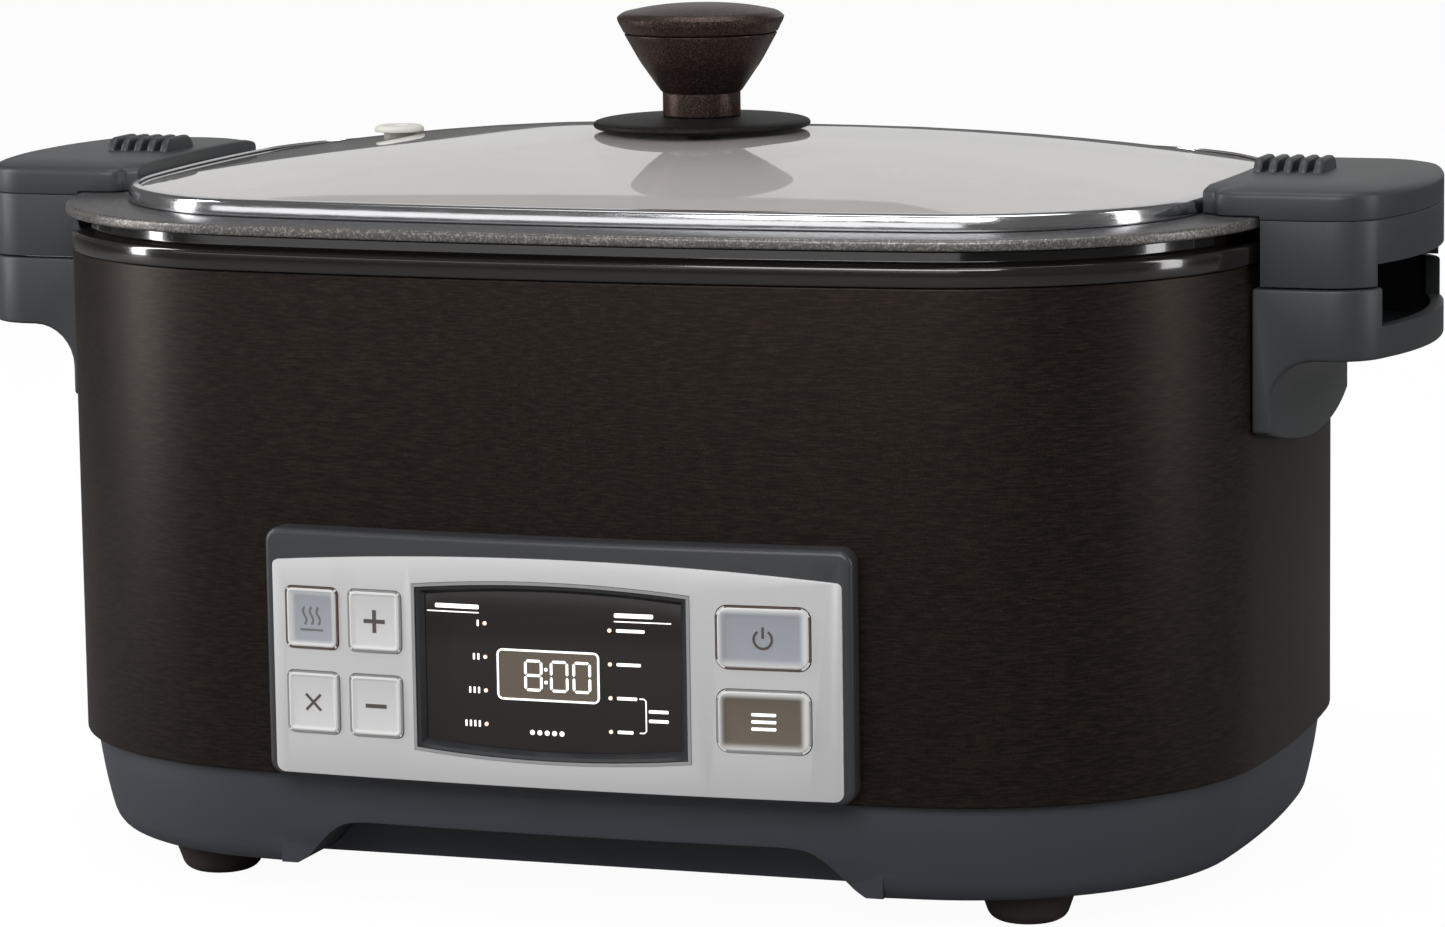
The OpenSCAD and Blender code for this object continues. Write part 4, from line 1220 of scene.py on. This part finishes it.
class COOKER_OT_lid(bpy.types.Operator):
    """Makes the domed glass, its steel rim and the steam vent"""

    bl_idname = "cooker.lid"
    bl_label = "Lid"

    def execute(self, context):
        s = sizes()
        plan = Plan(s)
        low, edge, thick = s.rim_bottom, 208.9, 3.3
        rise = s.glass_apex - edge
        glass = draw("glass", [(18.6, edge)], lambda d, z: (plan.end_x - d, 0, z), closed=False)
        bpy.ops.mesh.select_all(action="SELECT")
        for turn in plan.turns():
            spin(*turn)
        bpy.ops.object.mode_set(mode="OBJECT")
        mirror = glass.modifiers.new("Mirror", "MIRROR")
        mirror.use_axis, mirror.merge_threshold = (True, True, False), TOUCHING * MM
        bpy.ops.object.modifier_apply(modifier=mirror.name)
        activate(glass, "EDIT")
        tidy(normals=False)
        # Each ring is a smaller copy of the edge, raised so that the rings lie on a shallow dome
        levels = [1, 0.97, 0.93, 0.88, 0.82, 0.75, 0.67, 0.58, 0.48, 0.38, 0.28, 0.18, 0.1, 0.03]
        for outer, inner in zip(levels, levels[1:]):
            bpy.ops.mesh.extrude_region_move(TRANSFORM_OT_translate={"value": (0, 0, 0)})
            bpy.ops.transform.resize(value=(inner / outer, inner / outer, 1), center_override=(0, 0, 0))
            bpy.ops.transform.translate(value=(0, 0, rise * (outer**2 - inner**2) * MM))
        bpy.ops.mesh.edge_face_add()
        tidy()
        bpy.ops.object.mode_set(mode="OBJECT")
        solid = glass.modifiers.new("Thickness", "SOLIDIFY")
        solid.thickness, solid.offset = thick * MM, -1
        bpy.ops.object.modifier_apply(modifier=solid.name)
        vent_at = (-114, 30)
        combine(glass, lathed("hole", [(0, 200), (5.2, 200), (5.2, 240), (0, 240)], vent_at, 32))
        combine(glass, lathed("hole", [(0, 200), (5, 200), (5, 240), (0, 240)], (0, 0), 32))
        done(glass, "lid", ["lid_glass"], "lid_glass", "clear_glass")

        # The band's face leans back by twice the lean over its height, where the CAD has it upright
        out, lip, top, lean = 17.65, 20.85, 209.6, 0.35
        section = [(lip, low, 0.15), (out - lean, low, 0.6), (out + lean, top, 0.7)]
        section += [(lip, top + 0.7, 0.2), (lip, top, 0.1)]
        section += [(out + 0.85, top - 0.5, 0.3), (out + 0.85, low + 0.55, 0.3), (lip, low + 0.55, 0.1)]
        rim = swept("rim", section, plan, segments=3)
        done(rim, "lid", ["lid_rim"], "rim_steel", "rim_chrome")

        line = [(2, 210.8), (7, 210.8, 0.4), (7, 212.2, 0.5), (5, 212.2, 0.5), (5, 218, 0.8), (8, 218, 0.3)]
        line += [(8, 219.2, 0.5), (7, 220, 0.5), (3, 220, 0.5), (2, 219)]
        vent = lathed("vent", line, vent_at, 40, segments=3)
        done(vent, "lid", ["steam_vent"], "rim_steel", "silicone")
        return {"FINISHED"}


class COOKER_OT_knob(bpy.types.Operator):
    """Makes the lid's knob: the flat disc on the glass, the flared body and the cap"""

    bl_idname = "cooker.knob"
    bl_label = "Knob"

    def execute(self, context):
        s = sizes()
        low, r, top = s.glass_apex + 0.1, s.skirt_radius, s.knob_top
        disc = [(3.2, low), (12, low), (12, low + 0.7), (r - 0.8, low + 0.5, 0.4), (r, low + 1.1, 0.4)]
        disc += [(r, low + 2.3, 0.7), (r - 2, low + 3.1, 1.4), (14, 227.4, 0.8), (3.2, 227.4)]
        done(lathed("knob_disc", disc, steps=96), "lid", ["knob_skirt"], "knob_skirt_black", "skirt_black")
        r = s.knob_radius
        neck = 12.1
        body = [(2.65, 227.5), (neck, 227.5, 0.5), (neck, 235.0, 0.4), (12.7, 235.4, 0.3), (15.6, 239.6, 1.5)]
        body += [(19.2, 244.8, 2), (21.7, 249.4, 2), (r - 2.2, 253.1, 0.25), (r - 2.9, 253.4), (0, 253.4)]
        body += [(0, 245), (2.65, 245)]
        done(lathed("knob_flare", body, steps=96), "lid", ["knob_body"], "knob_bronze", "knob_bronze")
        cap = [(0, 253.5), (r - 2.8, 253.5), (r - 2.0, 253.7, 0.25), (r - 1.0, 255.7, 0.8)]
        cap += [(r - 0.1, 257.3, 0.9), (r, 258.3, 0.5), (r - 1.6, 259.8, 1.2), (14, top - 0.5, 5), (0, top)]
        done(lathed("knob_top", cap, steps=96), "lid", ["knob_cap"], "knob_bronze", "knob_bronze")
        dress("steel", "knob_screw")
        dress("silicone", "knob_washer")
        return {"FINISHED"}


class COOKER_OT_inlet(bpy.types.Operator):
    """Makes the mains socket at the back, with a collar round its mouth"""

    bl_idname = "cooker.inlet"
    bl_label = "Mains inlet"

    def execute(self, context):
        low, high = INLET[0] / MM, INLET[1] / MM
        x, z = (low.x + high.x) / 2, (low.z + high.z) / 2
        width, height, back = high.x - low.x, high.z - low.z, high.y
        outline = rounded(width, height, 3, x, z)
        inlet = prism("inlet", outline, lambda a, b: (a, low.y, b), (0, back - low.y, 0))
        pick(inlet, facing(1, back))
        inset(1.2)
        inset(0.4, -0.4)
        inset(2.0)
        inset(0.4, -0.4)
        extrude(0, -19, 0)
        tidy()
        done(inlet, "housing", ["mains_inlet"], "inlet_plastic", "inlet_plastic")
        dress("steel", "inlet_pins")
        return {"FINISHED"}


class COOKER_OT_well(bpy.types.Operator):
    """Makes the steel well that the pot drops into, with the heating plate and the sensor's cap"""

    bl_idname = "cooker.well"
    bl_label = "Heating well"

    def execute(self, context):
        s = sizes()
        plan = Plan(s)
        floor, wall = 70, 1.2
        top = s.shell_top
        section = [(60, floor), (22, floor, 5), (22, top - wall, 1.5), (14, top - wall), (14, top)]
        section += [(23.2, top, 2), (23.2, floor + wall, 4), (60, floor + wall)]
        well = swept("well", section, plan, closed=False)
        combine(well, lathed("hole", [(0, 60), (9, 60), (9, 80), (0, 80)], (0, 0), 32))
        done(well, "housing", ["heating_well"], "bare_steel", "steel")
        plate_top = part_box("heating_plate")[1].z / MM
        section = [(100, 76), (58, 76, 1.5), (58, plate_top, 2), (100, plate_top)]
        hot = swept("hot_plate", section, plan, closed=False)
        pick(hot, facing(2, plate_top))
        inset(6)
        inset(1.2, -0.8)
        tidy()
        for y in (-1, 1):
            for x in (-1, 1):
                leg = lathed("leg", [(0, 71.2), (5, 71.2), (5, 78), (0, 78)], (x * 95, y * 40), 24)
                combine(hot, leg, "UNION")
        combine(hot, lathed("hole", [(0, 70), (17, 70), (17, 95), (0, 95)], (0, 0), 48))
        done(hot, "housing", ["heating_plate"], "cast_aluminium", "cast_aluminium")
        probe = [(0, 56), (4.5, 56, 0.8), (4.5, 58.2), (6.5, 58.2), (6.5, 59.7), (4.5, 59.7), (4.5, 79.7)]
        probe += [(13, 79.7, 0.6), (13, plate_top, 1.2), (0, plate_top)]
        plunger = lathed("probe", probe, steps=48)
        done(plunger, "sensor", ["sensor_plunger"], "cast_aluminium", "cast_aluminium")

        foot, coil_r, wire_r, turns, pitch, pressed = 70.2, 7, 0.6, 5, 1.6, 0.68
        wire = curve(coil_r, foot + wire_r, wire_r, 0, 315, 7)
        spring = draw("return_spring", wire, lambda x, z: (x, 0, z))
        bpy.ops.object.mode_set(mode="OBJECT")
        coil = spring.modifiers.new("Coil", "SCREW")
        coil.iterations, coil.screw_offset, coil.steps, coil.render_steps = turns, pitch * MM, 24, 24
        bpy.ops.object.modifier_apply(modifier=coil.name)
        activate(spring, "EDIT")
        bpy.ops.mesh.select_all(action="SELECT")
        bpy.ops.mesh.fill_holes(sides=0)
        tidy()
        done(spring, "housing", ["sensor_spring"], "bare_steel", "steel")
        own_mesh(spring)
        return {"FINISHED"}


class COOKER_OT_insides(bpy.types.Operator):
    """Gives the parts inside the housing, which keep their CAD shape, their finishes"""

    bl_idname = "cooker.insides"
    bl_label = "Inner parts"

    def execute(self, context):
        dress("mineral_wool", "well_insulation")
        dress("dark_element", "heating_element")
        dress("steel", "sensor_guide", "heat_shield", "well_posts", "base_screws", "panel_screws")
        dress("ceramic", "thermal_fuse")
        dress("circuit_green", "power_board", "control_board")
        dress("component_black", "power_components", "button_switches")
        dress("wire_sleeve", "wiring_harness")
        dress("screen_taupe", "display_module")
        dress("lamp_amber", "led_indicators")
        return {"FINISHED"}


# ---- the stage ----
def area_light(name, place, target, size, power):
    deselect()
    bpy.ops.object.light_add(type="AREA", location=place)
    light = bpy.context.object
    light.name = name
    light.data.shape, light.data.size, light.data.size_y = "RECTANGLE", size[0], size[1]
    light.data.energy = power
    light.rotation_euler = (Vector(target) - Vector(place)).to_track_quat("-Z", "Y").to_euler()
    return light


CAMERA_PLACE = (0.57509, -1.64694, 0.38101)  # m
CAMERA_AIM = (19.09, 8.58, -0.83)  # degrees round from the front, down and rolled
CAMERA_LENS, SENSOR_WIDTH = 139.97, 36  # mm


class COOKER_OT_stage(bpy.types.Operator):
    """Sets the camera, the pale floor and the soft studio light"""

    bl_idname = "cooker.stage"
    bl_label = "Stage"

    def execute(self, context):
        az, el, roll = (math.radians(k) for k in CAMERA_AIM)
        ahead = Vector((-math.sin(az) * math.cos(el), math.cos(az) * math.cos(el), -math.sin(el)))
        right = Vector((math.cos(az), math.sin(az), 0))
        up = right.cross(ahead)
        across = math.cos(roll) * right + math.sin(roll) * up
        upward = math.cos(roll) * up - math.sin(roll) * right
        deselect()
        bpy.ops.object.camera_add(location=CAMERA_PLACE)
        camera = bpy.context.object
        camera.name = "camera"
        camera.rotation_euler = Matrix((across, upward, -ahead)).transposed().to_euler()
        camera.data.lens, camera.data.sensor_width = CAMERA_LENS, SENSOR_WIDTH
        context.scene.camera = camera
        context.scene.view_settings.view_transform = "Standard"

        deselect()
        bpy.ops.mesh.primitive_plane_add(size=12)
        floor = bpy.context.object
        floor.name = "floor"
        look = Finish("floor_white")
        look.set(Base_Color=look.blend(look.noise(400), (0.2, 0.2, 0.2), (0.22, 0.22, 0.22)), Roughness=0.8)
        sweep = look.node("Emission", inputs={"Color": (1, 1, 1), "Strength": 1.2})
        seen = look.node("LightPath", output="Is Camera Ray") * 0.8
        both = look.node("MixShader", inputs={0: seen, 1: Wire(look, look.shader.outputs[0]), 2: sweep})
        look.put(look.tree.nodes["Material Output"].inputs["Surface"], both)
        floor.data.materials.append(look.material)

        area_light("top_light", (0.1, 0.1, 1.9), (0, 0, 0.1), (1.8, 1.2), 14)
        area_light("back_light", (0.0, 2.2, 0.9), (0, 0, 0.25), (3.0, 1.2), 6)
        area_light("left_strip", (-1.6, -0.5, 0.7), (0, 0, 0.12), (0.25, 1.4), 18)
        area_light("right_strip", (1.7, 0.1, 0.6), (0, 0, 0.15), (0.3, 1.2), 8)
        area_light("rim_strip", (-0.5, -1.3, 0.4), (-0.1, -0.12, 0.2), (2.0, 0.26), 1.8)
        area_light("front_fill", (0.3, -2.6, 1.7), (0, 0, 0.1), (2.2, 1.2), 60)
        world = bpy.data.worlds.new("studio")
        world.use_nodes = True
        context.scene.world = world
        nodes, links = world.node_tree.nodes, world.node_tree.links
        backdrop = nodes["Background"]
        backdrop.inputs["Color"].default_value = (1, 1, 1, 1)
        path = nodes.new("ShaderNodeLightPath")
        level = nodes.new("ShaderNodeMapRange")
        level.inputs["To Min"].default_value, level.inputs["To Max"].default_value = 0.12, 1.1
        links.new(path.outputs["Is Camera Ray"], level.inputs["Value"])
        links.new(level.outputs[0], backdrop.inputs["Strength"])
        return {"FINISHED"}


OPERATORS = (
    COOKER_OT_stage,
    COOKER_OT_shell,
    COOKER_OT_base,
    COOKER_OT_panel,
    COOKER_OT_display,
    COOKER_OT_buttons,
    COOKER_OT_housing_handles,
    COOKER_OT_pot_handles,
    COOKER_OT_pot,
    COOKER_OT_lid,
    COOKER_OT_knob,
    COOKER_OT_inlet,
    COOKER_OT_well,
    COOKER_OT_insides,
)


class COOKER_PT_sidebar(bpy.types.Panel):
    """Lists the pieces, the sizes and the colours"""

    bl_label = "Slow cooker"
    bl_idname = "COOKER_PT_sidebar"
    bl_space_type = "VIEW_3D"
    bl_region_type = "UI"
    bl_category = "Slow cooker"

    def draw(self, context):
        for operator in OPERATORS:
            self.layout.operator(operator.bl_idname)
        for group in (context.scene.cooker_sizes, context.scene.cooker_colours):
            box = self.layout.box()
            for key in group.__annotations__:
                box.prop(group, key)


CLASSES = (CookerSizes, CookerColours, *OPERATORS, COOKER_PT_sidebar)


def register():
    for cls in CLASSES:
        bpy.utils.register_class(cls)
    bpy.types.Scene.cooker_sizes = PointerProperty(type=CookerSizes)
    bpy.types.Scene.cooker_colours = PointerProperty(type=CookerColours)


def unregister():
    del bpy.types.Scene.cooker_sizes, bpy.types.Scene.cooker_colours
    for cls in reversed(CLASSES):
        bpy.utils.unregister_class(cls)


def main():
    register()
    for operator in OPERATORS:
        family, name = operator.bl_idname.split(".")
        result = getattr(getattr(bpy.ops, family), name)()
        if result != {"FINISHED"}:
            raise RuntimeError(f"{operator.bl_label} did not finish")
    deselect()


if __name__ == "__main__":
    main()
